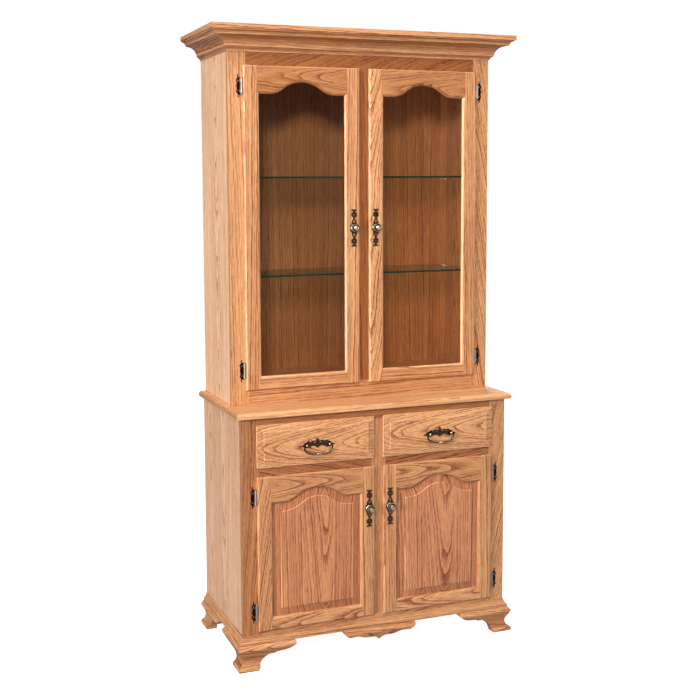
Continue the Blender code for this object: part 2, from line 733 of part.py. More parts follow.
def door_leaf(name, x, front, height, hinge_side, look, joint):
    """The cranked leaf: its knuckle, the strap behind the lip, and the wing on the door's back."""
    edge, inward = hinge_frame(x, hinge_side)
    lip_back = front + LIP_THICKNESS
    axis = (edge - inward * HINGE_X, lip_back + SEAT - HINGE_Y)
    strap = lip_back - SEAT - LEAF_THICKNESS
    plug = LIP_OVERLAP + FIT
    back = lip_back + PLUG_DEPTH + SEAT
    outline = [(-HINGE_X, strap), (plug + LEAF_THICKNESS, strap),
               (plug + LEAF_THICKNESS, back), (plug + DOOR_LEAF_LENGTH, back),
               (plug + DOOR_LEAF_LENGTH, back + LEAF_THICKNESS), (plug, back + LEAF_THICKNESS),
               (plug, strap + LEAF_THICKNESS), (-HINGE_X, strap + LEAF_THICKNESS)]
    tall = DOOR_LEAF_HEIGHT / 2
    leaf = add_object(name, prism([(edge + inward * a, y) for a, y in outline], "z",
                                  (height - tall, height + tall)), look)
    knuckle = BARREL_HEIGHT / 6 - KNUCKLE_GAP
    ends = (height - knuckle, height + knuckle)
    ease = LEAF_THICKNESS / 4
    for way in (-1, 1):
        notch = bmesh.new()
        add_box(notch, (axis[0] - inward * OVERRUN, edge + inward * BARREL_GAP),
                (strap - OVERRUN, strap + OVERRUN),
                (height + way * (knuckle - ease), height + way * (tall + OVERRUN)))
        cut(leaf, notch)
    unite(leaf, turned([(BARREL_RADIUS, ends[0]), (BARREL_RADIUS, ends[1])], axis, "z"))
    cut(leaf, turned([(HINGE_BORE, ends[0] - OVERRUN), (HINGE_BORE, ends[1] + OVERRUN)],
                     axis, "z"))
    hang(leaf, joint)


def leaf_outline():
    """The pierced-looking edge of the leaf on the face frame, as (out, up) from its middle."""
    wide, tall = LEAF_WIDTH, LEAF_HEIGHT / 2
    upper = smooth_curve([
        (wide, 0), (wide * 0.86, tall * 0.22), (wide * 0.98, tall * 0.46),
        (wide * 0.80, tall * 0.68), (wide * 0.62, tall * 0.76)], 2)
    upper += smooth_curve([(wide * 0.70, tall * 0.84), (wide * 0.62, tall * 0.95),
                           (wide * 0.46, tall), (wide * 0.34, tall * 0.90),
                           (wide * 0.42, tall * 0.78)], 2)
    barrel, third, ease = BARREL_HEIGHT / 2, BARREL_HEIGHT / 6, LEAF_THICKNESS / 4
    reach = BARREL_RADIUS + KNUCKLE_GAP
    upper += [(0, barrel - ease), (-reach, barrel - ease), (-reach, third + ease),
              (0, third + ease)]
    return [(a, -b) for a, b in reversed(upper[1:])] + upper


def frame_leaf(name, x, frame_y, height, hinge_side, look):
    """The decorated leaf on the face frame, with the two end knuckles and the pin."""
    edge, inward = hinge_frame(x, hinge_side)
    axis = (edge - inward * HINGE_X, frame_y - HINGE_Y)
    start = BARREL_RADIUS + KNUCKLE_GAP
    outline = [(axis[0] - inward * (start + a), height + b) for a, b in leaf_outline()]
    near = frame_y - SEAT - LEAF_THICKNESS
    leaf = add_object(name, prism(outline, "y", (near, near + LEAF_THICKNESS)), look)
    third = BARREL_HEIGHT / 6
    finial = BARREL_RADIUS * 0.6
    for way in (-1, 1):
        near_end = height + way * third
        far_end = height + way * BARREL_HEIGHT / 2
        unite(leaf, turned([(BARREL_RADIUS, near_end), (BARREL_RADIUS, far_end),
                            (finial, far_end + way * finial)], axis, "z"))
    run = third + OVERRUN
    unite(leaf, turned([(HINGE_PIN_RADIUS, height - run), (HINGE_PIN_RADIUS, height + run)],
                       axis, "z", CIRCLE_STEPS // 2))


def knob_plate_outline():
    """The lobed edge of a knob's backplate, as (across, up) from the knob."""
    half, wide = PLATE_HEIGHT / 2, PLATE_WIDTH / 2
    shares = [(1.0, 0.0), (0.985, 0.35), (0.93, 0.55), (0.87, 0.36), (0.80, 0.32), (0.71, 0.62),
              (0.61, 0.52), (0.53, 0.28), (0.44, 0.28), (0.34, 0.55), (0.26, 0.62),
              (0.19, 0.68), (0.12, 0.90), (0.0, 1.0)]
    quarter = [(b * wide, a * half) for a, b in shares]
    right = quarter + [(x, -z) for x, z in reversed(quarter[:-1])]
    return right + [(-x, z) for x, z in reversed(right[1:-1])]


def pull_plate_outline():
    """The scalloped edge of a drawer pull's backplate, as (across, up) from between its posts."""
    half, rise = PULL_LENGTH / 2, PULL_RISE
    shares = [(0.0, 1.0), (0.045, 0.86), (0.04, 0.68), (0.12, 0.52), (0.22, 0.64), (0.34, 0.56),
              (0.42, 0.42), (0.52, 0.52), (0.64, 0.46), (0.76, 0.30), (0.86, 0.04),
              (0.93, -0.08), (1.0, -0.19), (0.93, -0.25), (0.84, -0.24), (0.74, -0.36),
              (0.62, -0.48), (0.46, -0.42), (0.32, -0.24), (0.18, -0.22), (0.08, -0.36),
              (0.0, -0.54)]
    right = [(a * half, b * rise) for a, b in shares]
    return right + [(-x, z) for x, z in reversed(right[1:-1])]


def knob(name, centre_x, centre_z, front, look, joint):
    """A domed knob on its long backplate."""
    back = front - SEAT
    face = back - PLATE_THICKNESS
    outline = [(centre_x + a, centre_z + b) for a, b in knob_plate_outline()]
    made = add_object(name, prism(outline, "y", (back, face)), look)
    tip = front - KNOB_PROJECTION
    reach = face - tip
    dome = [(KNOB_RADIUS * math.cos(a), tip + reach * 0.30 * (1 - math.sin(a)))
            for a in (math.radians(85 * (1 - k / CURVE_STEPS)) for k in range(CURVE_STEPS + 1))]
    profile = [(KNOB_FOOT_RADIUS, back - PLATE_THICKNESS / 2), (KNOB_FOOT_RADIUS, face - reach * 0.08),
               (KNOB_STEM_RADIUS, face - reach * 0.20), (KNOB_STEM_RADIUS, face - reach * 0.42),
               (KNOB_RADIUS * 0.80, face - reach * 0.56)]
    profile += list(reversed(dome))
    unite(made, turned(profile, (centre_x, centre_z), "y"))
    hang(made, joint)


def door(prefix, opening, frame_y, hinge_side, glazed, knob_z, looks):
    """One door with its panel, knob and hinges, swinging on an empty at the hinge axis."""
    x, z = lipped(*opening)
    front = frame_y - DOOR_PROUD
    edge, inward = hinge_frame(x, hinge_side)
    joint = joint_empty(f"{prefix}_axis",
                        (edge - inward * HINGE_X, frame_y - HINGE_Y, (z[0] + z[1]) / 2))
    door_frame(f"{prefix}_frame", x, z, front, looks["oak_face"], joint, hinge_side, glazed)
    if glazed:
        glass_pane(f"{prefix}_glass", x, z, front, looks["glass"], joint)
    else:
        raised_panel(f"{prefix}_panel", x, z, front, looks["oak_face"], joint)
    free_edge = x[1] if hinge_side < 0 else x[0]
    knob_x = free_edge - inward * (DOOR_STILE - STICKING) / 2
    knob(f"{prefix}_knob", knob_x, knob_z(z), front, looks["antique_brass"], joint)
    for word, height in zip(("bottom", "top"), hinge_heights(z)):
        frame_leaf(f"{prefix}_{word}_hinge_frame_leaf", x, frame_y, height, hinge_side,
                   looks["antique_brass"])
        door_leaf(f"{prefix}_{word}_hinge_door_leaf", x, front, height, hinge_side,
                  looks["antique_brass"], joint)


def doors(looks):
    for side, word in ((-1, "left"), (1, "right")):
        door(f"upper_{word}_door", hutch_opening(side), HUTCH_FRONT_Y, side, True,
             lambda z: (z[0] + z[1]) / 2, looks)
        door(f"lower_{word}_door", base_openings(side)[0], BASE_FRONT_Y, side, False,
             lambda z: z[1] - LOWER_KNOB_DROP, looks)


# Drawers


def drawer_box_x(side):
    x = base_openings(side)[1][0]
    return x[0] + FIT, x[1] - FIT


def drawer_front(name, opening, look, joint):
    """A lipped front with a bevelled border round its raised field."""
    x, z = lipped(*opening)
    front = BASE_FRONT_Y - DOOR_PROUD
    rim = front + LIP_THICKNESS - DRAWER_EDGE
    rings = [rectangle(x, z, front, DRAWER_BEVEL + PANEL_STEP / 2),
             rectangle(x, z, front + PANEL_STEP / 2, DRAWER_BEVEL),
             rectangle(x, z, rim, PANEL_STEP), rectangle(x, z, rim + PANEL_STEP)]
    add_object(name, swept(rings + plug_rings(x, z, front)), look, joint)


def drawer_box(name, side, look, joint):
    """Two sides, a back and a raised bottom, glued up behind the front."""
    x = drawer_box_x(side)
    start = BASE_FRONT_Y + PLUG_DEPTH
    y = (start, start + DRAWER_LENGTH)
    floor = DRAWER_FLOOR_Z + SEAT
    z = (floor, floor + DRAWER_HEIGHT)
    box = board(name, x, y, z, look)
    inside = (x[0] + DRAWER_SIDE, x[1] - DRAWER_SIDE)
    bottom = floor + DRAWER_BOTTOM_RAISE
    hollow = bmesh.new()
    add_box(hollow, inside, (y[0] - OVERRUN, y[1] - DRAWER_SIDE),
            (bottom + DRAWER_BOTTOM, z[1] + OVERRUN))
    cut(box, hollow)
    under = bmesh.new()
    add_box(under, inside, (y[0] - OVERRUN, y[1] + OVERRUN), (floor - OVERRUN, bottom))
    cut(box, under)
    hang(box, joint)


def pull(prefix, opening, looks, drawer_joint):
    """A backplate with two posts, and the bail that swings in them."""
    x, z = lipped(*opening)
    front = BASE_FRONT_Y - DOOR_PROUD
    middle = (x[0] + x[1]) / 2
    height = (z[0] + z[1]) / 2 - PULL_DROP
    back, face = front - SEAT, front - SEAT - PLATE_THICKNESS
    outline = [(middle + a, height + b) for a, b in pull_plate_outline()]
    plate = add_object(f"{prefix}_pull_plate", prism(outline, "y", (back, face)),
                       looks["dark_bronze"])
    axis_y = face - BAIL_AXIS
    hole = BAIL_RADIUS + BAIL_PLAY
    for way in (-1, 1):
        post_x = middle + way * PULL_CENTRES / 2
        unite(plate, turned([(POST_RADIUS * 1.3, (back + face) / 2), (POST_RADIUS, face - POST_RADIUS / 2),
                             (POST_RADIUS, face - POST_LENGTH + POST_RADIUS / 2),
                             (POST_RADIUS * 0.6, face - POST_LENGTH)], (post_x, height), "y"))
        inner = post_x + way * (POST_RADIUS - 2 * BAIL_RADIUS)
        outer = post_x + way * (POST_RADIUS + OVERRUN)
        cut(plate, turned([(hole, inner), (hole, outer)], (axis_y, height), "x"))
    hang(plate, drawer_joint)
    joint = joint_empty(f"{prefix}_bail_axis", Vector((middle, axis_y, height)))
    joint.location -= drawer_joint.location
    joint.parent = drawer_joint
    bail(f"{prefix}_bail", joint, looks["antique_brass"])


def bail(name, joint, look):
    """A bent rod: two pins that point in, and a bow below them."""
    pin = PULL_CENTRES / 2 + POST_RADIUS - 2 * BAIL_RADIUS + BAIL_PLAY
    bend = BAIL_RADIUS * 2
    right = [(pin, 0), (BAIL_HALF - bend, 0)]
    right += arc((BAIL_HALF - bend, -bend), bend, 90, 0, 3)[1:]
    drop = BAIL_DROP - bend
    for k in range(1, 2 * CURVE_STEPS + 1):
        a = math.pi * k / (4 * CURVE_STEPS)
        right.append((BAIL_HALF * math.cos(a) ** BAIL_SQUARENESS if k < 2 * CURVE_STEPS else 0,
                      -bend - drop * math.sin(a) ** BAIL_SQUARENESS))
    points = right + [(-a, b) for a, b in reversed(right[:-1])]
    curve = bpy.data.curves.new(name, "CURVE")
    curve.dimensions = "3D"
    curve.bevel_depth = BAIL_RADIUS
    curve.bevel_resolution = 2
    curve.use_fill_caps = True
    spline = curve.splines.new("POLY")
    spline.points.add(len(points) - 1)
    for point, (a, b) in zip(spline.points, points):
        point.co = (a, 0, b, 1)
    curve.materials.append(look)
    made = bpy.data.objects.new(name, curve)
    bpy.context.scene.collection.objects.link(made)
    made.parent = joint


def drawers(looks):
    for side, word in ((-1, "left"), (1, "right")):
        opening = base_openings(side)[1]
        prefix = f"{word}_drawer"
        middle = (opening[0][0] + opening[0][1]) / 2
        joint = joint_empty(f"{prefix}_slide", (middle, BASE_FRONT_Y, DRAWER_FLOOR_Z))
        drawer_front(f"{prefix}_front", opening, looks["oak_face"], joint)
        drawer_box(f"{prefix}_box", side, looks["oak_box"], joint)
        pull(prefix, opening, looks, joint)


def shade_by_face_size():
    """Keeps flat faces looking flat next to small curved ones, after the Booleans."""
    for made in bpy.context.scene.collection.objects:
        if made.type == "MESH" and not made.hide_render:
            modifier = made.modifiers.new("shading", "WEIGHTED_NORMAL")
            modifier.weight = 100
            modifier.keep_sharp = True


def build():
    clear_scene()
    looks = make_materials()
    hutch_case(looks)
    glass_shelves(looks)
    crown_moulding(looks)
    base_case(looks)
    countertop(looks)
    base_moulding(looks)
    feet(looks)
    apron_pendant(looks)
    doors(looks)
    drawers(looks)
    shade_by_face_size()


build()
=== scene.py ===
"""The finished look of an oak china hutch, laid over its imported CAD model.

Every wooden node of the model is sawn into the boards that a joiner would glue up, each with its
own run of grain. The brass, the bails, the hinges and the glass shelves are modelled here.
Sizes are in metres, in the frame of the CAD model: +Z up, the doors towards -Y.
"""

import json
import math
import random

import bmesh
import bpy
from bpy.props import FloatProperty, FloatVectorProperty, PointerProperty
from mathutils import Matrix, Vector

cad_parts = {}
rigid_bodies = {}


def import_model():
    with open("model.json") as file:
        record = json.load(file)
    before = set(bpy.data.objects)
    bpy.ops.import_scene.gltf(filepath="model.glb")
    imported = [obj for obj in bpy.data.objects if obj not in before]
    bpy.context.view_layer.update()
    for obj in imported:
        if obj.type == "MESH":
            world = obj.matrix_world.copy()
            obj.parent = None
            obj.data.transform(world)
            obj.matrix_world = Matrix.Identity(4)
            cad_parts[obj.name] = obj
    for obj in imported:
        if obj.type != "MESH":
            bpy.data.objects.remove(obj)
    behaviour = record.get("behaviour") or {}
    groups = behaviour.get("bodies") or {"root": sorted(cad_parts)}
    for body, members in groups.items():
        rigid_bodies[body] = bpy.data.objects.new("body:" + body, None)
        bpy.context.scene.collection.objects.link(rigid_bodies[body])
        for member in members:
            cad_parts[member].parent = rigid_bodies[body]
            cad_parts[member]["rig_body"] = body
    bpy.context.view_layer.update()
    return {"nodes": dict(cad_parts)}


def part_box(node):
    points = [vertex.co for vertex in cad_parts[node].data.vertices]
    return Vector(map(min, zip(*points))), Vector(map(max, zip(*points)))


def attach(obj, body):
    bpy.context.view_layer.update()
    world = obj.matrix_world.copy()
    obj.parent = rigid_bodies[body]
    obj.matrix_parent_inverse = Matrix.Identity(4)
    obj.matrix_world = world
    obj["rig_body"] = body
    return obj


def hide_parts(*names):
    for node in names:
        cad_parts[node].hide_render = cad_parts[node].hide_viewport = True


bl_info = {
    "name": "China Hutch",
    "version": (1, 0, 0),
    "blender": (4, 5, 0),
    "location": "View3D > Sidebar > Hutch",
    "description": "Dresses the CAD model of an oak china hutch in boards, brass and glass",
    "category": "Add Mesh",
}

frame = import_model()

X, Y, Z = 0, 1, 2
AXES = (Vector((1, 0, 0)), Vector((0, 1, 0)), Vector((0, 0, 1)))
LEVELS = ("upper", "lower")
SIDES = ("left", "right")
WAYS = ((-1, "left"), (1, "right"))

# Joinery of the CAD model
SEAM = 0.0001  # left between glued boards
LIP_OVERLAP = 0.0095  # of a door or drawer front over its opening
DOOR_STILE = 0.0505
DOOR_BOTTOM_RAIL = 0.043
DOOR_PEAK_RAIL = 0.0495  # over the top of the arch
ARCH_RISE = 0.038
STICKING = 0.008  # moulded edge of a door frame
SHOULDER = 0.0008  # round the raised field of a drawer front
PLANK_WIDTH = 0.147
PLANK_LEAST = 0.01  # narrowest strip at either side of the planked back
PLANK_GROOVE = 0.0016  # depth of the V grooves in the model
SHOWN_GROOVE = 0.0005  # as shallow as they look in the photograph
PLANK_ARRIS = 0.0002  # rounding, less than that of other boards
PANEL_ARRIS = 0.0003
STAVE = 0.11  # widest board in a glued panel
PANEL_STAVE = 0.13
BOX_STAVE = 0.14
FOOT_INSET = 0.015
DRAWER_SIDE = 0.012
DRAWER_FLOOR = 0.014
PLATE_THICKNESS = 0.0016
PULL_CENTRES = 0.0762
BAIL_AXIS = 0.0085  # in front of the plate
LEAF_THICKNESS = 0.0012

CREASE = math.radians(35)  # edges sharper than this stay crisp in the shading
ARRIS_ANGLE = math.radians(38)  # edges sharper than this are sanded round
FLAT_ANGLE = math.radians(0.3)
MERGED = 1e-6  # corners of the CAD model's triangles this near are one
TOUCHING = 2e-6  # points of the cast parts this near are one
AT_DEPTH = 1e-5  # how exactly a point lies at a known depth


def linear(red, green, blue):
    """A colour on the usual 0 to 255 scale, as the linear values that shaders use."""
    return tuple((c / 255 / 12.92) if c < 11 else ((c / 255 + 0.055) / 1.055) ** 2.4
                 for c in (red, green, blue))


# Settings


def swatch(label, text, default):
    return FloatVectorProperty(name=label, description=text, default=default, min=0, max=1,
                               size=3, subtype="COLOR")


def length(label, text, default):
    return FloatProperty(name=label, description=text, default=default, min=0, unit="LENGTH",
                         precision=4)


def share(label, text, default):
    return FloatProperty(name=label, description=text, default=default, min=0, max=1,
                         subtype="FACTOR")


def watts(label, text, default):
    return FloatProperty(name=label, description=text, default=default, min=0, unit="POWER")


class HutchWood(bpy.types.PropertyGroup):
    """Colours and figure of the oak."""
    face_light: swatch("Front, light", "Late wood of the doors, frames and mouldings",
                       linear(226, 166, 112))
    face_dark: swatch("Front, dark", "Early wood of the doors, frames and mouldings",
                      linear(144, 69, 26))
    panel_light: swatch("Raised panel, light", "Late wood of the raised panels",
                        linear(224, 155, 106))
    panel_dark: swatch("Raised panel, dark", "Early wood of the raised panels",
                       linear(142, 62, 24))
    side_light: swatch("Side, light", "Late wood of the side panels", linear(242, 194, 150))
    side_dark: swatch("Side, dark", "Early wood of the side panels", linear(186, 114, 70))
    top_light: swatch("Counter, light", "Late wood of the countertop", linear(240, 186, 132))
    top_dark: swatch("Counter, dark", "Early wood of the countertop", linear(186, 110, 56))
    inside_light: swatch("Back, light", "Late wood of the planked back", linear(209, 122, 70))
    inside_dark: swatch("Back, dark", "Early wood of the planked back", linear(142, 66, 30))
    box_light: swatch("Boxes, light", "Late wood of drawer boxes and hidden boards",
                      linear(226, 186, 138))
    box_dark: swatch("Boxes, dark", "Early wood of drawer boxes and hidden boards",
                     linear(190, 140, 92))
    ring: length("Ring width", "Distance between growth rings", 0.0090)
    rounding: length("Arris", "Rounding of the sanded edges of each board", 0.0004)
    lacquer: share("Lacquer", "Strength of the satin lacquer coat", 0.75)
    lacquer_roughness: share("Lacquer roughness", "Roughness of the satin lacquer coat", 0.20)


class HutchMetal(bpy.types.PropertyGroup):
    """Colours and sizes of the brass."""
    bright: swatch("Bright brass", "Knobs, where hands rub them bright", linear(234, 222, 194))
    aged: swatch("Aged brass", "Hollows of the knobs", linear(66, 54, 30))
    # Also the colour of the painted highlight along the rims of the hinge leaves
    pewter: swatch("Worn brass", "Raised parts of bails and hinges", linear(214, 186, 152))
    pewter_dark: swatch("Dark brass", "Hollows of bails and hinges", linear(54, 34, 24))
    leaf: swatch("Hinge leaf", "Door leaves and barrels of the hinges", linear(172, 160, 152))
    bronze: swatch("Bronze", "Raised parts of the backplates", linear(104, 84, 76))
    bronze_dark: swatch("Dark bronze", "Hollows of the backplates", linear(24, 16, 14))
    knob_radius: length("Knob radius", "Half the width of a knob", 0.0130)
    bail_radius: length("Bail radius", "Half the thickness of a bail at its ends", 0.0027)
    bail_swell: length("Bail swell", "Half the thickness of a bail near its middle", 0.0034)


class HutchGlass(bpy.types.PropertyGroup):
    """The panes and shelves."""
    tint: swatch("Tint", "Colour of the glass seen through its face", linear(244, 250, 247))
    edge: swatch("Edge", "Colour of the glass seen through its polished edge",
                 linear(16, 66, 48))
    edge_dark: swatch("Edge, dark", "Darkest colour in the polished edge", linear(6, 30, 22))
    gloss: share("Gloss", "Strength of the reflections in the glass", 0.22)
    polish: length("Polish", "Chamfer along the edges of a glass shelf", 0.0006)


class HutchStage(bpy.types.PropertyGroup):
    """The floor, the lights and the camera."""
    floor: swatch("Floor", "Colour of the plain floor", (0.30, 0.30, 0.30))
    glow: share("Glow", "How much the floor is overexposed towards white", 0.97)
    sky: share("Sky", "Strength of the even light from all round", 0.17)
    key: watts("Key light", "Power of the soft light above the camera", 165.0)
    top: watts("Top light", "Power of the soft light overhead", 60.0)
    side: watts("Side light", "Power of the soft light at the left", 260.0)
    right: watts("Right light", "Power of the soft light at the right", 120.0)
    back: watts("Back light", "Power of the soft light behind", 260.0)
    lens: FloatProperty(name="Lens", description="Focal length of the camera", default=58.263,
                        min=1, unit="CAMERA")


# Making things


def add_piece(name, node, bm, finishes):
    """Turns a bmesh into a finished piece that stands for a CAD node and rides on its body."""
    mesh = bpy.data.meshes.new(name)
    bm.to_mesh(mesh)
    bm.free()
    for finish in finishes:
        mesh.materials.append(finish)
    piece = bpy.data.objects.new(name, mesh)
    bpy.context.scene.collection.objects.link(piece)
    mesh.shade_smooth()
    mesh.set_sharp_from_angle(angle=CREASE)
    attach(piece, frame["nodes"][node]["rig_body"])
    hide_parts(node)
    return piece


def soften(piece, width):
    """Rounds the crisp edges and keeps flat faces looking flat."""
    bevel = piece.modifiers.new("arris", "BEVEL")
    bevel.width, bevel.segments = width, 2
    bevel.limit_method, bevel.angle_limit = "ANGLE", ARRIS_ANGLE
    bevel.use_clamp_overlap = True
    normals = piece.modifiers.new("flats", "WEIGHTED_NORMAL")
    normals.keep_sharp, normals.weight = True, 80


def cad_copy(node):
    """The shape of a CAD node as a bmesh with its loose triangles merged into clean faces."""
    bm = bmesh.new()
    bm.from_mesh(frame["nodes"][node].data)
    for layer in list(bm.loops.layers.uv):
        bm.loops.layers.uv.remove(layer)
    bmesh.ops.remove_doubles(bm, verts=bm.verts[:], dist=MERGED)
    bmesh.ops.dissolve_limit(bm, angle_limit=FLAT_ANGLE, verts=bm.verts[:], edges=bm.edges[:])
    return bm


def plane(axis, limit, way):
    """What lies beyond this limit along an axis is sawn off. way is 1 for above, -1 for below."""
    return AXES[axis] * limit, AXES[axis] * way


def between(axis, low, high):
    """Only what lies from low to high along an axis is left."""
    return [plane(axis, low, -1), plane(axis, high, 1)]


def slanted(point, outward):
    """What lies outward of a plane through this point is sawn off."""
    return Vector(point), Vector(outward).normalized()


# How a board was sawn: offset of the pith across its face and below it, slope of the rings along
# it, and how far they wander
FIGURES = {"flat": (0.026, 0.026, 0.07, 0.022), "cathedral": (0.008, 0.026, 0.14, 0.026),
           "diagonal": (0.050, 0.026, 0.24, 0.036), "rift": (0.080, 0.030, 0.02, 0.012),
           "wild": (0.034, 0.020, 0.17, 0.100), "straight": (0.100, 0.010, 0.01, 0.008),
           "arched": (0.016, 0.030, 0.09, 0.016)}


class Board:
    """One board of a piece: where it is sawn from the node, how its grain runs, and the painted
    light and shade of its faces.
    """

    def __init__(self, grain, face, cuts=(), figure="flat", tone=0.0, relief=None, bold=0.0):
        self.grain, self.face, self.cuts = grain, face, list(cuts)
        self.figure, self.tone, self.relief, self.bold = figure, tone, relief, bold

    def saw(self, source):
        """A copy of the node's shape, cut down to this board."""
        bm = source.copy()
        for point, outward in self.cuts:
            cut = bmesh.ops.bisect_plane(
                bm, geom=bm.verts[:] + bm.edges[:] + bm.faces[:], dist=1e-7, clear_outer=True,
                plane_co=point - outward * SEAM / 2, plane_no=outward)
            rim = [e for e in cut["geom_cut"] if isinstance(e, bmesh.types.BMEdge)]
            if rim:
                bmesh.ops.holes_fill(bm, edges=rim, sides=0)
        return bm

    def mark(self, bm, dice):
        """Stores each point's place in the log that the board was sawn from, and each face's tone
        with its painted light and shade.
        """
        grain = bm.verts.layers.float_vector.new("grain")
        bold = bm.verts.layers.float.new("bold")
        look = bm.loops.layers.float_vector.new("look")
        across = 3 - self.grain - self.face
        spans = [[v.co[k] for v in bm.verts] for k in range(3)]
        middle = Vector([(min(s) + max(s)) / 2 for s in spans])
        start = dice.uniform(0, 9)
        aside, deep, lean, warp = FIGURES[self.figure]
        aside *= dice.uniform(0.7, 1.3) * dice.choice((-1, 1))
        deep *= dice.uniform(0.7, 1.4)
        lean *= dice.uniform(0.7, 1.3) * dice.choice((-1, 1))
        value = self.tone + dice.uniform(-0.3, 0.3)
        for v in bm.verts:
            away = v.co - middle
            run = away[self.grain]
            v[grain] = Vector((run + start, away[across] + aside, away[self.face] + lean * run))
            v[bold] = self.bold
        bm.normal_update()
        for f in bm.faces:
            tone = value + painted_light_tone(f, self.face, self.relief)
            for corner in f.loops:
                corner[look] = Vector((tone, warp, deep))


# How much a face is turned to its board's own face: flat on it, or a gentle bevel
ON_FACE, ON_BEVEL = 0.997, 0.9
# Tones of painted light and shade by the way a face turns: on upper bevels, lower bevels, lit
# edges and shaded edges. The plank entry darkens the grooves between the back planks
PAINTED_LIGHT_TONES = {None: (0.0, 0.0, 0.0, 0.0),
          "frame": (0.0, 0.0, 1.3, -1.2), "sight": (0.0, 0.0, 0.2, -1.6),
          "sash": (0.0, 0.0, 2.5, -0.8), "panel": (-0.5, -1.0, 4.5, -1.4),
          "drawer": (0.4, 0.2, 2.0, -1.6), "moulding": (0.0, 0.0, 0.9, -2.8),
          "foot": (0.0, 0.0, 0.9, -2.8), "plank": (0.0, 0.0, -3.2, -3.2),
          "counter": (0.0, 0.0, -0.5, -0.8)}
SIDE_TONES = {"drawer": -0.8, "panel": -0.9}  # darker left and right bevels, partly painted shade
SASH_PAINTED_HIGHLIGHT = 3.4  # painted highlight along the left side of each pane
COUNTER_END = -2.4  # on the end grain of the countertop
WAIST = (0.015, 0.046)  # heights between which the feet are darker
WAIST_TONE = -1.8


def painted_light_tone(patch, face, relief):
    """The tone of a face by the way it turns: painted light on edges and slopes that face up or
    left, painted shade on the others, and darker waists on the feet and end grain on the
    countertop.
    """
    upper, lower, edge, shaded = PAINTED_LIGHT_TONES[relief]
    normal = patch.normal
    facing = abs(normal[face])
    if relief == "foot" and WAIST[0] < patch.calc_center_median().z < WAIST[1]:
        return WAIST_TONE
    if facing > ON_FACE:
        return 0.0
    if facing > ON_BEVEL:
        if relief in SIDE_TONES and abs(normal.x) > 0.05:
            return SIDE_TONES[relief]
        return lower if normal.z < -0.1 else upper
    # Painted highlight on the right-facing sticking along the left side of each pane
    if relief == "sash" and normal.x > 0.3:
        return SASH_PAINTED_HIGHLIGHT
    if relief == "counter" and abs(normal.x) > 0.3:
        return COUNTER_END * abs(normal.x)
    if relief in ("moulding", "foot"):
        return shaded * -normal.z if normal.z < 0 else edge * normal.z
    return edge if normal.z - normal.x > 0 else shaded


def glue_up(name, node, boards, kind, rounding=None, source=None):
    """Saws a wooden CAD node into its boards and puts them together as one piece."""
    source = source or cad_copy(node)
    dice = random.Random(name)
    total = bmesh.new()
    for board in boards:
        bm = board.saw(source)
        if not bm.faces:
            raise RuntimeError(f"{name}: a board of {node} came out empty")
        board.mark(bm, dice)
        carrier = bpy.data.meshes.new(name)
        bm.to_mesh(carrier)
        bm.free()
        total.from_mesh(carrier)
        bpy.data.meshes.remove(carrier)
    source.free()
    piece = add_piece(name, node, total, [wood_finish(kind)])
    soften(piece, rounding or bpy.context.scene.hutch_wood.rounding)
    return piece


def staves(node, grain, face, widest=STAVE, **look):
    """Boards side by side across a glued panel."""
    across = 3 - grain - face
    low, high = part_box(node)
    width = high[across] - low[across]
    count = max(1, math.ceil(width / widest))
    boards = []
    for k in range(count):
        cuts = []
        if k:
            cuts.append(plane(across, low[across] + width * k / count, -1))
        if k < count - 1:
            cuts.append(plane(across, low[across] + width * (k + 1) / count, 1))
        boards.append(Board(grain, face, cuts, "flat" if k % 2 else "straight", **look))
    return boards


# Materials


def finish_of(name, build, *options):
    """The material of this name, which build sets up when it is first asked for."""
    made = bpy.data.materials.get(name)
    if not made:
        made = bpy.data.materials.new(name)
        made.use_nodes = True
        build(made.node_tree, made.node_tree.nodes["Principled BSDF"], *options)
    return made


def node_of(tree, kind, links=None, **settings):
    """Adds a shader node. links gives a value or a socket for each input."""
    made = tree.nodes.new(kind)
    for key, value in settings.items():
        setattr(made, key, value)
    for key, value in (links or {}).items():
        socket = made.inputs[key]
        if isinstance(value, bpy.types.NodeSocket):
            tree.links.new(value, socket)
        else:
            socket.default_value = value
    return made


def maths(tree, operation, *values, clamp=False):
    """The result of a sum on numbers or sockets."""
    return node_of(tree, "ShaderNodeMath", dict(enumerate(values)), operation=operation,
                   use_clamp=clamp).outputs[0]


def stretched_noise(tree, vector, scale, detail=2.0, roughness=0.5):
    """Noise with its own scale along each direction."""
    placed = node_of(tree, "ShaderNodeVectorMath", {0: vector, 1: scale}, operation="MULTIPLY")
    noise = node_of(tree, "ShaderNodeTexNoise", {
        "Vector": placed.outputs[0], "Scale": 1.0, "Detail": detail, "Roughness": roughness})
    return noise.outputs["Fac"]


def ramp(tree, factor, stops):
    """A colour ramp of grey levels, as (place, level)."""
    made = node_of(tree, "ShaderNodeValToRGB", {0: factor})
    points = made.color_ramp.elements
    while len(points) < len(stops):
        points.new(0.5)
    for point, (place, level) in zip(points, stops):
        point.position, point.color = place, (level, level, level, 1)
    return made.outputs[0]


def mix(tree, factor, first, second, blend="MIX"):
    """A blend of two colours, each a socket or a plain colour."""
    made = node_of(tree, "ShaderNodeMix", data_type="RGBA", blend_type=blend)
    for key, value in ((0, factor), (6, first), (7, second)):
        if isinstance(value, bpy.types.NodeSocket):
            tree.links.new(value, made.inputs[key])
        else:
            made.inputs[key].default_value = value if key == 0 else (*value, 1)
    return made.outputs[2]


def object_place(tree):
    """Where a point lies on the piece, in metres."""
    return node_of(tree, "ShaderNodeTexCoord").outputs["Object"]


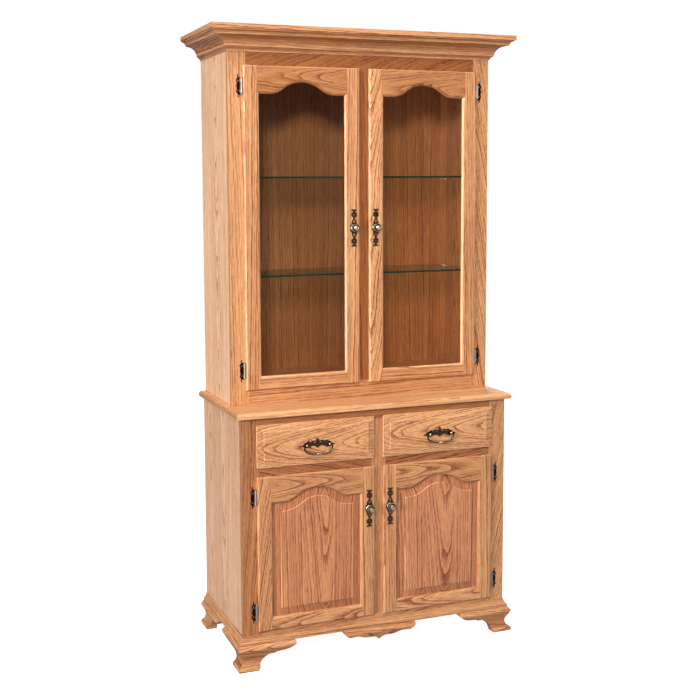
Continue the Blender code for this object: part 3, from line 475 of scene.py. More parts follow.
def oak_figure():
    """Growth rings, streaks and pores of oak, from each point's place in its log, and each face's
    tone with its painted light and shade.
    """
    group = bpy.data.node_groups.get("oak figure")
    if group:
        return group
    wood = bpy.context.scene.hutch_wood
    group = bpy.data.node_groups.new("oak figure", "ShaderNodeTree")
    for name in ("Figure", "Pores", "Height", "Tone"):
        group.interface.new_socket(name, in_out="OUTPUT", socket_type="NodeSocketFloat")
    place = node_of(group, "ShaderNodeAttribute", attribute_name="grain").outputs["Vector"]
    look = node_of(group, "ShaderNodeAttribute", attribute_name="look").outputs["Vector"]
    tone, warp, deep = node_of(group, "ShaderNodeSeparateXYZ", {0: look}).outputs
    log = node_of(group, "ShaderNodeSeparateXYZ", {0: place})
    bold = node_of(group, "ShaderNodeAttribute", attribute_name="bold").outputs["Fac"]

    def do(operation, *values, clamp=False):
        return maths(group, operation, *values, clamp=clamp)

    def noise(scale, detail, roughness=0.5, vector=place):
        return stretched_noise(group, vector, scale, detail, roughness)

    def swing(factor, reach):
        return do("MULTIPLY", do("SUBTRACT", factor, 0.5), reach)

    pith = node_of(group, "ShaderNodeCombineXYZ", {0: log.outputs[1], 1: deep})
    radius = node_of(group, "ShaderNodeVectorMath", {0: pith.outputs[0]},
                     operation="LENGTH").outputs["Value"]
    radius = do("ADD", radius, log.outputs[2])
    radius = do("ADD", radius, swing(noise((2.0, 3.5, 3.5), 1.0, 0.4), warp))
    radius = do("ADD", radius, swing(noise((11, 34, 34), 3.0, 0.55), 0.0085))

    # The years: wide and narrow ones, each dark and porous at its start, with finer lines between
    spread = node_of(group, "ShaderNodeCombineXYZ", {0: radius}).outputs[0]
    years = noise((70, 0, 0), 2.0, vector=spread)
    phase = do("ADD", do("DIVIDE", radius, wood.ring), do("MULTIPLY", years, 2.8))
    year = do("FRACT", phase)
    early = ramp(group, year, [(0.0, 0.0), (0.05, 1.0), (0.15, 0.90), (0.28, 0.30),
                               (0.60, 0.08), (1.0, 0.0)])
    fine = ramp(group, do("FRACT", do("MULTIPLY", phase, 3.0)),
                [(0.0, 0.0), (0.12, 1.0), (0.40, 0.3), (1.0, 0.0)])
    early = do("ADD", early, do("MULTIPLY", fine, 0.36))

    # The rings fade and break up along the board
    strength = ramp(group, noise((2.2, 24, 24), 2.0), [(0.30, 0.60), (0.62, 1.0)])
    flecks = noise((22, 330, 330), 3.0, 0.75)
    broken = ramp(group, flecks, [(0.36, 0.48), (0.58, 1.0)])
    rings = do("MULTIPLY", do("MULTIPLY", early, strength), broken)
    rings = do("MULTIPLY", rings, do("ADD", bold, 0.86))

    figure = rings
    for factor, reach in ((noise((1.6, 60, 60), 4.0, 0.6), 0.55), (flecks, 1.25),
                          (noise((3.0, 14, 14), 2.0), 0.40)):
        figure = do("ADD", figure, swing(factor, reach))
    figure = do("ADD", figure, 0.18, clamp=True)

    dashes = ramp(group, noise((48, 1500, 1500), 1.0), [(0.56, 0.0), (0.64, 1.0)])
    porous = ramp(group, year, [(0.0, 0.3), (0.10, 1.0), (0.32, 0.7), (0.50, 0.14), (1.0, 0.05)])
    pores = do("MULTIPLY", dashes, porous)
    height = do("SUBTRACT", do("MULTIPLY", rings, -0.25), pores)
    out = node_of(group, "NodeGroupOutput", {0: figure, 1: pores, 2: height, 3: tone})
    out.is_active_output = True
    return group


def oak(tree, shader, light, dark):
    """Honey-stained red oak under a satin lacquer."""
    wood = bpy.context.scene.hutch_wood
    figure, pores, height, tone = node_of(tree, "ShaderNodeGroup",
                                          node_tree=oak_figure()).outputs
    colour = mix(tree, figure, tuple(light), tuple(dark))
    pore = tuple(c * 0.42 for c in dark)
    colour = mix(tree, maths(tree, "MULTIPLY", pores, 0.55), colour, pore)
    # The tone scales the colour: each board's own stain and the painted light and shade of its
    # faces
    stain_and_painted_light = node_of(tree, "ShaderNodeVectorMath", {0: tone, 1: (0.16, 0.22, 0.28), 2: (1, 1, 1)},
                    operation="MULTIPLY_ADD").outputs[0]
    tree.links.new(mix(tree, 1.0, colour, stain_and_painted_light, "MULTIPLY"), shader.inputs["Base Color"])
    rough = maths(tree, "MULTIPLY_ADD", figure, 0.12, 0.40)
    rough = maths(tree, "MULTIPLY_ADD", pores, 0.15, rough)
    tree.links.new(rough, shader.inputs["Roughness"])
    bump = node_of(tree, "ShaderNodeBump", {"Height": height, "Distance": 0.00016,
                                            "Strength": 0.55})
    tree.links.new(bump.outputs[0], shader.inputs["Normal"])
    shader.inputs["Coat Weight"].default_value = wood.lacquer
    shader.inputs["Coat Roughness"].default_value = wood.lacquer_roughness
    shader.inputs["Coat IOR"].default_value = 1.5


def wood_finish(kind):
    wood = bpy.context.scene.hutch_wood
    return finish_of(f"lacquered_oak_{kind}", oak, getattr(wood, f"{kind}_light"),
                     getattr(wood, f"{kind}_dark"))


# Colour where polished bright and where a highlight is painted, colour in the hollows, roughness
METALS = {"antiqued_brass": ("bright", "aged", 0.28), "worn_brass": ("pewter", "pewter_dark", 0.22),
          "darkened_bronze": ("bronze", "bronze_dark", 0.34), "hinge_brass": ("leaf", "leaf", 0.36)}


def metal(name):
    look = bpy.context.scene.hutch_metal
    bright, aged, roughness = METALS[name]
    return finish_of(name, cast_metal, getattr(look, bright), getattr(look, aged), roughness)


def cast_metal(tree, shader, bright, aged, roughness):
    """Cast metal, dark in its hollows and polished bright where hands reach; on the rims of the
    hinge leaves the brightness is a painted highlight.
    """
    place = object_place(tree)
    rubbed = node_of(tree, "ShaderNodeAttribute", attribute_name="rubbed").outputs["Fac"]
    mottle = stretched_noise(tree, place, (260, 260, 260), 4.0, 0.65)
    spots = stretched_noise(tree, place, (1300, 1300, 1300))
    wear_and_highlight_mix = maths(tree, "MULTIPLY_ADD", maths(tree, "SUBTRACT", mottle, 0.5), 0.8, rubbed)
    wear_and_highlight_mix = ramp(tree, wear_and_highlight_mix, [(0.25, 0.0), (0.75, 1.0)])
    tree.links.new(mix(tree, wear_and_highlight_mix, tuple(aged), tuple(bright)), shader.inputs["Base Color"])
    shader.inputs["Metallic"].default_value = 1.0
    rough = maths(tree, "MULTIPLY_ADD", spots, 0.16, roughness + 0.10)
    rough = maths(tree, "MULTIPLY_ADD", wear_and_highlight_mix, -0.16, rough)
    tree.links.new(rough, shader.inputs["Roughness"])
    height = maths(tree, "MULTIPLY_ADD", spots, 0.4, mottle)
    bump = node_of(tree, "ShaderNodeBump", {"Height": height, "Distance": 0.0001,
                                            "Strength": 0.5})
    tree.links.new(bump.outputs[0], shader.inputs["Normal"])


def clear_glass(tree, shader):
    """Clear float glass that lets the light through to the shelves."""
    look = bpy.context.scene.hutch_glass
    tree.nodes.remove(shader)
    smudge = ramp(tree, stretched_noise(tree, object_place(tree), (14, 14, 14), 5.0, 0.7),
                  [(0.45, 0.01), (0.8, 0.06)])
    clear = node_of(tree, "ShaderNodeBsdfTransparent", {0: (*look.tint, 1)})
    gloss = node_of(tree, "ShaderNodeBsdfGlossy", {"Color": (1, 1, 1, 1), "Roughness": smudge})
    facing = node_of(tree, "ShaderNodeFresnel", {"IOR": 1.5})
    shine = maths(tree, "MULTIPLY", facing.outputs[0], look.gloss)
    both = node_of(tree, "ShaderNodeMixShader", {0: shine, 1: clear.outputs[0],
                                                 2: gloss.outputs[0]})
    tree.links.new(both.outputs[0], tree.nodes["Material Output"].inputs["Surface"])


def glass_edge(tree, shader):
    """The green of a glass edge, seen along the sheet."""
    look = bpy.context.scene.hutch_glass
    place = object_place(tree)
    bands = ramp(tree, stretched_noise(tree, place, (6, 6, 700)), [(0.35, 0.0), (0.65, 1.0)])
    colour = mix(tree, bands, tuple(look.edge_dark), tuple(look.edge))
    tree.links.new(colour, shader.inputs["Base Color"])
    grind = stretched_noise(tree, place, (900, 900, 900))
    tree.links.new(maths(tree, "MULTIPLY_ADD", grind, 0.1, 0.06), shader.inputs["Roughness"])
    shader.inputs["Coat Weight"].default_value = 0.6


# Boards of the hutch


def case_pieces():
    """The display case, whose sides are lighter outside than inside."""
    for side, inward in (("left", 1), ("right", -1)):
        node = f"hutch_side_{side}"
        # tone=1.4 is painted light: the display case's sides are made lighter than the base
        # cabinet's, as more light falls on them
        piece = glue_up(f"case_side_{side}", node, staves(node, Z, X, tone=1.4), "side")
        piece.data.materials.append(wood_finish("inside"))
        for f in piece.data.polygons:
            f.material_index = 1 if f.normal.x * inward > 0.5 else 0
    for word, kind in (("top", "box"), ("floor", "inside")):
        node = f"hutch_{word}_board"
        glue_up(f"case_{word}", node, staves(node, X, Z), kind)
    node = "hutch_back_panel"
    low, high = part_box(node)
    seams = [(k + 0.5) * PLANK_WIDTH for k in range(-3, 3)]
    edges = [low.x - 1] + [
        x for x in seams if low.x + PLANK_LEAST < x < high.x - PLANK_LEAST] + [high.x + 1]
    planks = [Board(Z, Y, between(X, a, b), "rift" if k % 2 else "straight", relief="plank")
              for k, (a, b) in enumerate(zip(edges, edges[1:]))]
    source = cad_copy(node)
    for v in source.verts:
        if abs(v.co.y - low.y - PLANK_GROOVE) < AT_DEPTH:
            v.co.y = low.y + SHOWN_GROOVE
    glue_up("case_back_planks", node, planks, "inside", PLANK_ARRIS, source)


def opening_of(node):
    """The opening that a lipped door or drawer front covers: its low and high corner."""
    low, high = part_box(node)
    step = Vector((LIP_OVERLAP, 0, LIP_OVERLAP))
    return low + step, high - step


def face_frame_pieces():
    """Both face frames. a and b are the left opening's corners, c and d the right one's."""
    (a, b), (c, d) = (opening_of(f"upper_{side}_door_frame") for side in SIDES)
    inner = between(X, a.x, d.x)
    # The top rail's and the centre stile's dark tones are partly painted shade of the crown and of
    # the door lips
    boards = [Board(Z, Y, [plane(X, a.x, 1)], "rift", -0.3, bold=-0.15),
              Board(Z, Y, [plane(X, d.x, -1)], "diagonal", 0.2, bold=0.15),
              Board(X, Y, inner + [plane(Z, b.z, -1)], "diagonal", -3.1, bold=-0.1),
              Board(X, Y, inner + [plane(Z, a.z, 1)], "rift", -0.3),
              Board(Z, Y, between(X, b.x, c.x) + between(Z, a.z, b.z), "rift", -2.8, bold=0.3)]
    glue_up("case_face_frame", "hutch_face_frame", boards, "face")
    (a, b), (c, d) = (opening_of(f"lower_{side}_door_frame") for side in SIDES)
    drawer_low, drawer_high = opening_of("left_drawer_front")
    inner, rail = between(X, a.x, d.x), between(Z, b.z, drawer_low.z)
    # The dark tones of the top rail and of the rails below the drawers are partly painted shade of
    # the countertop and of the drawers
    boards = [Board(Z, Y, [plane(X, a.x, 1)], "flat", -2.2),
              Board(Z, Y, [plane(X, d.x, -1)], "diagonal", -0.3),
              Board(X, Y, inner + [plane(Z, drawer_high.z, -1)], "straight", -2.7),
              Board(X, Y, inner + [plane(Z, a.z, 1)], "flat", -0.3),
              Board(X, Y, between(X, a.x, b.x) + rail, "diagonal", -2.3, bold=0.5),
              Board(X, Y, between(X, c.x, d.x) + rail, "flat", -2.3, bold=0.5),
              Board(Z, Y, between(X, b.x, c.x) + between(Z, a.z, drawer_high.z), "rift", -0.8)]
    glue_up("base_face_frame_boards", "base_face_frame", boards, "face")


def mitred(name, node, cabinet, tone):
    """Front and returns of a moulding whose mitres start at a cabinet's front corners."""
    low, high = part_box(cabinet)
    corners = [Vector((way * high.x, low.y, 0)) for way in (-1, 1)]
    cuts = [(X, Y, [slanted(corners[0], (-1, 1, 0)), slanted(corners[1], (1, 1, 0))]),
            (Y, X, [slanted(corners[0], (1, -1, 0)), plane(X, 0, 1)]),
            (Y, X, [slanted(corners[1], (-1, -1, 0)), plane(X, 0, -1)])]
    glue_up(name, node, [Board(*cut, "rift", tone, "moulding") for cut in cuts], "face")


def moulding_pieces():
    mitred("crown_lengths", "crown_moulding", "hutch_face_frame", 0.3)
    mitred("base_moulding_lengths", "base_moulding", "base_face_frame", -0.4)
    boards = staves("countertop", X, Z, tone=0.7, relief="counter", bold=0.25)
    glue_up("countertop_boards", "countertop", boards, "top")


def foot_pieces():
    low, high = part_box("base_face_frame")
    for way, side in WAYS:
        corner = Vector((way * high.x, low.y, 0))
        boards = [Board(X, Y, [slanted(corner, (way, 1, 0))], "flat", 0.2, "foot", 0.2),
                  Board(Y, X, [slanted(corner, (-way, -1, 0))], "flat", 0.2, "foot", 0.2)]
        glue_up(f"front_bracket_{side}", f"foot_front_{side}", boards, "face")
        inner = way * (high.x - FOOT_INSET)
        boards = [Board(Y, X, [plane(X, inner, -way)]), Board(X, Y, [plane(X, inner, way)])]
        glue_up(f"back_bracket_{side}", f"foot_back_{side}", boards, "face")
    glue_up("pendant_board", "apron_pendant", [Board(X, Y)], "face")


def base_pieces():
    for side in SIDES:
        node = f"base_side_{side}"
        glue_up(f"base_panel_{side}", node, staves(node, Z, X), "side")
    for name, node, grain, face in (
            ("base_floor", "base_floor_board", X, Z), ("base_back", "base_back_panel", Z, Y),
            ("loose_shelf", "base_shelf", X, Z), ("drawer_runner_deck", "drawer_deck", X, Z)):
        glue_up(name, node, staves(node, grain, face, BOX_STAVE), "box")


def sight_of(node):
    """What a door's frame leaves open: its low and high corner, up to the arch's shoulders."""
    low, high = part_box(node)
    return (Vector((low.x + DOOR_STILE, low.y, low.z + DOOR_BOTTOM_RAIL)),
            Vector((high.x - DOOR_STILE, high.y, high.z - DOOR_PEAK_RAIL - ARCH_RISE)))


# The tone of each level's doors, the painted light and shade of their outer boards and of those
# beside the opening, and the figure, tone and boldness of the arched rail and of the foot rail
DOORS = {"upper": (-0.5, "sash", "sash", ("arched", -1.2, -0.1), ("straight", 0.2, 0.1)),
         "lower": (-0.9, "frame", "sight", ("arched", -0.2, 0.0), ("arched", 1.0, 0.1))}
RIGHT_DOOR = 0.5  # lighter than the left one
STRIP_TONE = 0.4
# The same of each door's left and right stile
STILES = {"upper_left": (("rift", 0.1, 0.1), ("rift", 0.9, 0.1)),
          "upper_right": (("wild", 0.8, 0.2), ("rift", 0.3, 0.1)),
          "lower_left": (("diagonal", 0.2, 0.1), ("rift", 0.8, 0.1)),
          "lower_right": (("rift", 0.3, 0.1), ("rift", 0.3, 0.1))}


def door_boards(level, door_side):
    """Two rails coped over two stiles, and the moulded strips along these."""
    low, high = sight_of(f"{level}_{door_side}_door_frame")
    lift, relief, sight, arched_rail, foot_rail = DOORS[level]
    if door_side == "right":
        lift += RIGHT_DOOR
    span = between(X, low.x - STICKING, high.x + STICKING)
    middle = (low.z + high.z) / 2
    boards = []
    for (figure, tone, bold), edge, way, rim in ((arched_rail, high.z, -1, relief),
                                                 (foot_rail, low.z, 1, sight)):
        cuts = span + [slanted((low.x, 0, edge), (-1, 0, way)),
                       slanted((high.x, 0, edge), (1, 0, way)), plane(Z, middle, way)]
        boards.append(Board(X, Y, cuts, figure, lift + tone, rim, bold))
    stiles = STILES[f"{level}_{door_side}"]
    for way, edge, (figure, tone, bold) in zip((-1, 1), (low.x, high.x), stiles):
        inner, outer = edge + way * STICKING, edge - way * STICKING
        boards.append(Board(Z, Y, [plane(X, inner, -way)], figure, lift + tone, relief, bold))
        strip = [plane(X, inner, way), plane(X, outer, -way),
                 slanted((edge, 0, high.z), (-way, 0, 1)),
                 slanted((edge, 0, low.z), (-way, 0, -1))]
        boards.append(Board(Z, Y, strip, "straight", lift + STRIP_TONE, sight))
    return boards


def door_pieces():
    for level in LEVELS:
        for side in SIDES:
            prefix = f"{level}_{side}_door"
            glue_up(f"{prefix}_boards", f"{prefix}_frame", door_boards(level, side), "face")
            if level == "lower":
                node = f"{prefix}_panel"
                boards = staves(node, Z, Y, PANEL_STAVE, tone=-0.4 if side == "left" else 0.0,
                                relief="panel", bold=0.05)
                glue_up(f"{prefix}_raised_panel", node, boards, "panel", PANEL_ARRIS)


def crisp_field(node):
    """A drawer front whose raised field stands off its bevels by a deeper shoulder."""
    bm = cad_copy(node)
    low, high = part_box(node)
    middle = (low + high) / 2
    for v in bm.verts:
        if abs(v.co.y - low.y - SHOULDER) < AT_DEPTH:
            v.co.y += SHOULDER
            v.co.x += math.copysign(SHOULDER, v.co.x - middle.x)
            v.co.z += math.copysign(SHOULDER, v.co.z - middle.z)
    return bm


def drawer_pieces():
    for side, tone in (("left", 0.4), ("right", 1.1)):
        node = f"{side}_drawer_front"
        glue_up(f"{side}_drawer_face", node, [Board(X, Y, (), "cathedral", tone, "drawer")],
                "face", source=crisp_field(node))
        node = f"{side}_drawer_box"
        low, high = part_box(node)
        left, right = low.x + DRAWER_SIDE, high.x - DRAWER_SIDE
        back, floor = high.y - DRAWER_SIDE, low.z + DRAWER_FLOOR
        inner = between(X, left, right)
        boards = [Board(Y, X, [plane(X, left, 1)]), Board(Y, X, [plane(X, right, -1)]),
                  Board(X, Y, inner + [plane(Y, back, -1)]),
                  Board(X, Z, inner + [plane(Y, back, 1), plane(Z, floor, 1)])]
        glue_up(f"{side}_drawer_carcass", node, boards, "box")


# Glass


def refinish(node, finish):
    """Gives a CAD node that stays a better material."""
    materials = frame["nodes"][node].data.materials
    materials.clear()
    materials.append(finish)


def glass_pieces():
    look = bpy.context.scene.hutch_glass
    pane = finish_of("clear_glass", clear_glass)
    for side in SIDES:
        refinish(f"upper_{side}_door_glass", pane)
    for word in ("lower", "upper"):
        node = f"glass_shelf_{word}"
        low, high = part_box(node)
        bm = bmesh.new()
        bmesh.ops.create_cube(bm, size=1, matrix=Matrix.Translation((low + high) / 2)
                              @ Matrix.Diagonal((*(high - low), 1)))
        bmesh.ops.bevel(bm, geom=bm.edges[:], offset=look.polish, segments=2, profile=0.5,
                        affect="EDGES", material=-1)
        for f in bm.faces:
            f.material_index = 1 if f.normal.y < -0.3 else 0
        add_piece(f"shelf_{word}", node, bm, [pane, finish_of("glass_edge", glass_edge)])


# Brass


def smooth_loop(points, steps):
    """A closed curve through these points."""
    count = len(points)
    curve = []
    for k in range(count):
        a, b, c, d = (Vector(points[(k + j) % count]) for j in (-1, 0, 1, 2))
        for step in range(steps):
            t = step / steps
            curve.append(0.5 * ((2 * b) + (c - a) * t + (2 * a - 5 * b + 4 * c - d) * t**2
                                + (3 * b - a - 3 * c + d) * t**3))
    return curve


def mirrored(points):
    """A half outline, from its highest point down its right side, made whole."""
    return points + [(-x, z) for x, z in reversed(points) if x > 1e-6]


def oval(x, z, wide, tall, lean=0.0, steps=14):
    """A small pierced hole."""
    turn = Matrix.Rotation(math.radians(lean), 2)
    return [Vector((x, z)) + turn @ Vector((wide * math.cos(a), tall * math.sin(a)))
            for a in (2 * math.pi * k / steps for k in range(steps))]


def pierced_plate(bm, centre, outline, holes, back, face, edge):
    """A cast plate with its holes, its front edge rounded over."""
    loops = []
    for loop in [outline, *holes]:
        ring = [bm.verts.new((centre[0] + x, back, centre[1] + z)) for x, z in loop]
        loops += [bm.edges.new(pair) for pair in zip(ring, ring[1:] + ring[:1])]
    filled = bmesh.ops.triangle_fill(bm, edges=loops, use_beauty=True, normal=(0, -1, 0))
    sheet = [f for f in filled["geom"] if isinstance(f, bmesh.types.BMFace)]
    raised = bmesh.ops.extrude_face_region(bm, geom=sheet, use_keep_orig=True)["geom"]
    top = [v for v in raised if isinstance(v, bmesh.types.BMVert)]
    bmesh.ops.translate(bm, verts=top, vec=(0, face - back, 0))
    bmesh.ops.recalc_face_normals(bm, faces=bm.faces[:])
    front = set(top)
    rim = [e for e in bm.edges if e.verts[0] in front and e.verts[1] in front
           and e.calc_face_angle(0) > 1]
    bmesh.ops.bevel(bm, geom=rim, offset=edge, segments=2, profile=0.5, affect="EDGES",
                    material=-1)
    close(bm)


def spun(bm, centre, profile, steps, axis=Y):
    """A turned shape. profile gives (radius, place along the axis) from one end to the other."""
    start = []
    side = AXES[Z] if axis == Y else AXES[X]
    for radius, place in profile:
        base = Vector(centre)
        base[axis] = place
        start.append(bm.verts.new(base + side * radius))
    chain = [bm.edges.new(pair) for pair in zip(start, start[1:])]
    bmesh.ops.spin(bm, geom=start + chain, cent=Vector(centre), axis=AXES[axis], steps=steps,
                   angle=2 * math.pi, use_merge=True)


def close(bm):
    """Closes poles and open ends, and turns all faces outwards."""
    bmesh.ops.remove_doubles(bm, verts=bm.verts[:], dist=TOUCHING)
    bmesh.ops.holes_fill(bm, edges=[e for e in bm.edges if e.is_boundary], sides=0)
    bmesh.ops.recalc_face_normals(bm, faces=bm.faces[:])


def rub(bm, amount):
    """Stores how bright each point is, from 0 in hollows to 1 on raised parts: polished by hands,
    and on the rims of the hinge leaves a painted highlight.
    """
    layer = bm.verts.layers.float.new("rubbed")
    for v in bm.verts:
        v[layer] = amount(v.co)


PLATE_EDGE = 0.00045  # rounding of the front edge of a backplate
PLATE_RUB, PLATE_RUBBED_DEPTH = 0.70, 0.00035
SMALL_HOLE = 10  # points round one

# Right side of a knob's backplate, from its top finial down to the middle: (across, up)
KNOB_PLATE = [(0.0, 0.0595), (0.0026, 0.0590), (0.0076, 0.0604), (0.0086, 0.0566),
              (0.0044, 0.0535), (0.0030, 0.0508), (0.0060, 0.0492), (0.0100, 0.0470),
              (0.0078, 0.0430), (0.0104, 0.0390), (0.0062, 0.0358), (0.0028, 0.0326),
              (0.0032, 0.0285), (0.0062, 0.0240), (0.0080, 0.0195), (0.0090, 0.0140),
              (0.0124, 0.0088), (0.0142, 0.0)]
# A knob's rosette, as (share of the radius, metres in front of the plate), then its stem and
# head, as (share of the radius, share of the way to the tip)
KNOB_ROSETTE = [(0.84, 0.0006), (0.78, 0.0014), (0.62, 0.0011), (0.56, 0.0024), (0.44, 0.0030)]
KNOB_HEAD = [(0.36, 0.22), (0.34, 0.34), (0.44, 0.45), (0.80, 0.55), (0.97, 0.60), (1.0, 0.65),
             (0.98, 0.70), (0.86, 0.715), (0.83, 0.735), (0.86, 0.76), (0.80, 0.83),
             (0.68, 0.90), (0.52, 0.945), (0.44, 0.955), (0.40, 0.935), (0.36, 0.94),
             (0.26, 0.985), (0.10, 1.0), (0.0, 1.0)]


def turned(name, node, centre, profile, steps, wear_and_highlight_at, finish):
    """One turned casting, each point as bright as the given function says."""
    bm = bmesh.new()
    spun(bm, centre, profile, steps)
    close(bm)
    rub(bm, wear_and_highlight_at)
    add_piece(name, node, bm, [metal(finish)])


def backplate(name, node, centre, half, holes, back):
    """A pierced plate from the right half of its outline."""
    face = back - PLATE_THICKNESS
    bm = bmesh.new()
    pierced_plate(bm, centre, smooth_loop(mirrored(half), 4), holes, back, face, PLATE_EDGE)
    rub(bm, lambda co: PLATE_RUB if co.y < face + PLATE_RUBBED_DEPTH else 0.0)
    add_piece(name, node, bm, [metal("darkened_bronze")])


def knob_pieces():
    half = KNOB_PLATE + [(x, -z) for x, z in reversed(KNOB_PLATE[:-1])]
    # A tall and a round hole above and below the knob, and small ones in each finial
    holes = []
    for way in (-1, 1):
        holes += [oval(0, way * 0.0208, 0.0026, 0.0046), oval(0, way * 0.0420, 0.0018, 0.0022)]
        holes += [oval(way * 0.0034, z, 0.0010, 0.0011, steps=SMALL_HOLE)
                  for z in (0.0566, -0.0566)]
    for level in LEVELS:
        for side in SIDES:
            node = f"{level}_{side}_door_knob"
            low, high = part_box(node)
            x, z = (low.x + high.x) / 2, (low.z + high.z) / 2
            backplate(f"{level}_{side}_knob_plate", node, (x, z), half, holes, high.y)
            knob_head(f"{level}_{side}_knob_head", node, x, z, high.y, low.y)


def knob_head(name, node, x, z, back, tip):
    """A turned knob, bright on its head and dark in its grooves."""
    r = bpy.context.scene.hutch_metal.knob_radius
    face = back - PLATE_THICKNESS
    reach = face - tip
    profile = [(0.0, back), (r * KNOB_ROSETTE[0][0], back)]
    profile += [(r * wide, face - out) for wide, out in KNOB_ROSETTE]
    profile += [(r * wide, face - reach * out) for wide, out in KNOB_HEAD]

    def wear_and_highlight_at(co):
        out = math.hypot(co.x - x, co.z - z) / r
        deep = (face - co.y) / reach
        if deep < 0.5:
            return 0.75 if deep < 0.1 and out > 0.7 else 0.12
        groove = 0.66 < out < 0.88 or 0.37 < out < 0.42
        return 0.1 if groove or deep < 0.62 else 1.0

    turned(name, node, (x, 0, z), profile, 48, wear_and_highlight_at, "antiqued_brass")


# Right side of a pull's backplate, from its crest round its tip to the middle of its foot
PULL_PLATE = [
    (0.0, 0.0210), (0.0020, 0.0185), (0.0046, 0.0172), (0.0050, 0.0142), (0.0030, 0.0122),
    (0.0070, 0.0112), (0.0105, 0.0124), (0.0140, 0.0112), (0.0172, 0.0128), (0.0200, 0.0132),
    (0.0208, 0.0104), (0.0240, 0.0098), (0.0276, 0.0114), (0.0312, 0.0124), (0.0340, 0.0104),
    (0.0370, 0.0084), (0.0412, 0.0078), (0.0448, 0.0050), (0.0470, 0.0012), (0.0506, 0.0002),
    (0.0548, -0.0014), (0.0590, -0.0040), (0.0548, -0.0048), (0.0500, -0.0044),
    (0.0458, -0.0058), (0.0424, -0.0086), (0.0380, -0.0096), (0.0330, -0.0092),
    (0.0280, -0.0082), (0.0230, -0.0056), (0.0170, -0.0040), (0.0110, -0.0044),
    (0.0060, -0.0070), (0.0030, -0.0096), (0.0, -0.0113)]
POST_RADIUS = 0.0042
POST_REACH = 0.0125
BAIL_BEND = 0.0044
# Beads at the middle of a bail: place along it, radius, half width
BEADS = ((0, 0.0046, 0.0030), (-0.0050, 0.0038, 0.0016), (0.0050, 0.0038, 0.0016))
BEAD_LIFT = 0.0003
BRIGHT_MIDDLE = (0.0075, 0.006)  # how far the rubbed middle reaches to each side, and up


def bail_path(half, drop, bend):
    """Points of a bail in its own plane, from one end's shoulder round to the other's."""
    right = [(half - bend + bend * math.sin(a), -bend + bend * math.cos(a))
             for a in (math.radians(18 * k) for k in range(6))]
    for k in range(1, 19):
        a = math.pi / 2 * k / 18
        right.append((half * math.cos(a) ** 0.8 if k < 18 else 0.0,
                      -bend - (drop - bend) * math.sin(a) ** 0.8))
    return right + [(-x, z) for x, z in reversed(right[:-1])]


def swept_rod(bm, path, radii, steps):
    """A round rod of changing thickness along a path, by extruding a circle."""
    ring = last = None
    for k, (point, radius) in enumerate(zip(path, radii)):
        before, after = path[max(k - 1, 0)], path[min(k + 1, len(path) - 1)]
        turn = (after - before).to_track_quat("Z", "Y").to_matrix().to_4x4()
        place = Matrix.Translation(point) @ turn @ Matrix.Diagonal((radius, radius, 1, 1))
        if ring is None:
            ring = bmesh.ops.create_circle(bm, cap_ends=False, radius=1, segments=steps,
                                           matrix=place)["verts"]
        else:
            edges = [e for e in {e for v in ring for e in v.link_edges}
                     if e.verts[0] in ring and e.verts[1] in ring]
            extruded = bmesh.ops.extrude_edge_only(bm, edges=edges)["geom"]
            ring = [v for v in extruded if isinstance(v, bmesh.types.BMVert)]
            bmesh.ops.transform(bm, matrix=place @ last.inverted(), verts=ring)
        last = place


def pull_pieces():
    # A small hole in the crest, then two slanting slots and a small hole on each side
    holes = [oval(0, 0.0152, 0.0013, 0.0016, steps=SMALL_HOLE)]
    for way in (-1, 1):
        holes += [oval(way * 0.0105, 0.0072, 0.0042, 0.0018, -way * 12),
                  oval(way * 0.0240, 0.0062, 0.0030, 0.0014, way * 20),
                  oval(way * 0.0186, 0.0106, 0.0011, 0.0011, steps=SMALL_HOLE)]
    for side in SIDES:
        node = f"{side}_drawer_pull_plate"
        low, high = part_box(node)
        middle, back = (low.x + high.x) / 2, high.y
        height = bail_height(side)
        backplate(f"{side}_pull_backplate", node, (middle, height), PULL_PLATE, holes, back)
        for way, word in WAYS:
            pull_post(f"{side}_pull_post_{word}", node, middle + way * PULL_CENTRES / 2, height,
                      back)
        bail_rod(side, middle, back - PLATE_THICKNESS - BAIL_AXIS, height)


def pull_post(name, node, x, z, back):
    """A turned post with a foot, a waist and a domed head."""
    face, r, reach = back - PLATE_THICKNESS, POST_RADIUS, POST_REACH
    profile = [(0.0, back), (r * 1.75, back), (r * 1.75, face - 0.0005),
               (r * 1.45, face - 0.0014), (r * 0.95, face - 0.0018),
               (r * 0.86, face - reach * 0.30), (r * 0.96, face - reach * 0.44)]
    for k in range(8):
        a = math.radians(-20 + 110 * k / 7)
        profile.append((r * 1.04 * math.cos(a), face - reach * 0.66 - reach * 0.34 * math.sin(a)))
    profile[-1] = (0.0, profile[-1][1])
    turned(name, node, (x, 0, z), profile, 28,
           lambda co: min(1.0, max(0.0, (face - co.y) / reach * 1.3)), "worn_brass")


def bail_height(side):
    """The height of a bail's axis, from the bail's own box and its rod's thickness."""
    low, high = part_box(f"{side}_drawer_bail")
    return high.z - (high.y - low.y) / 2


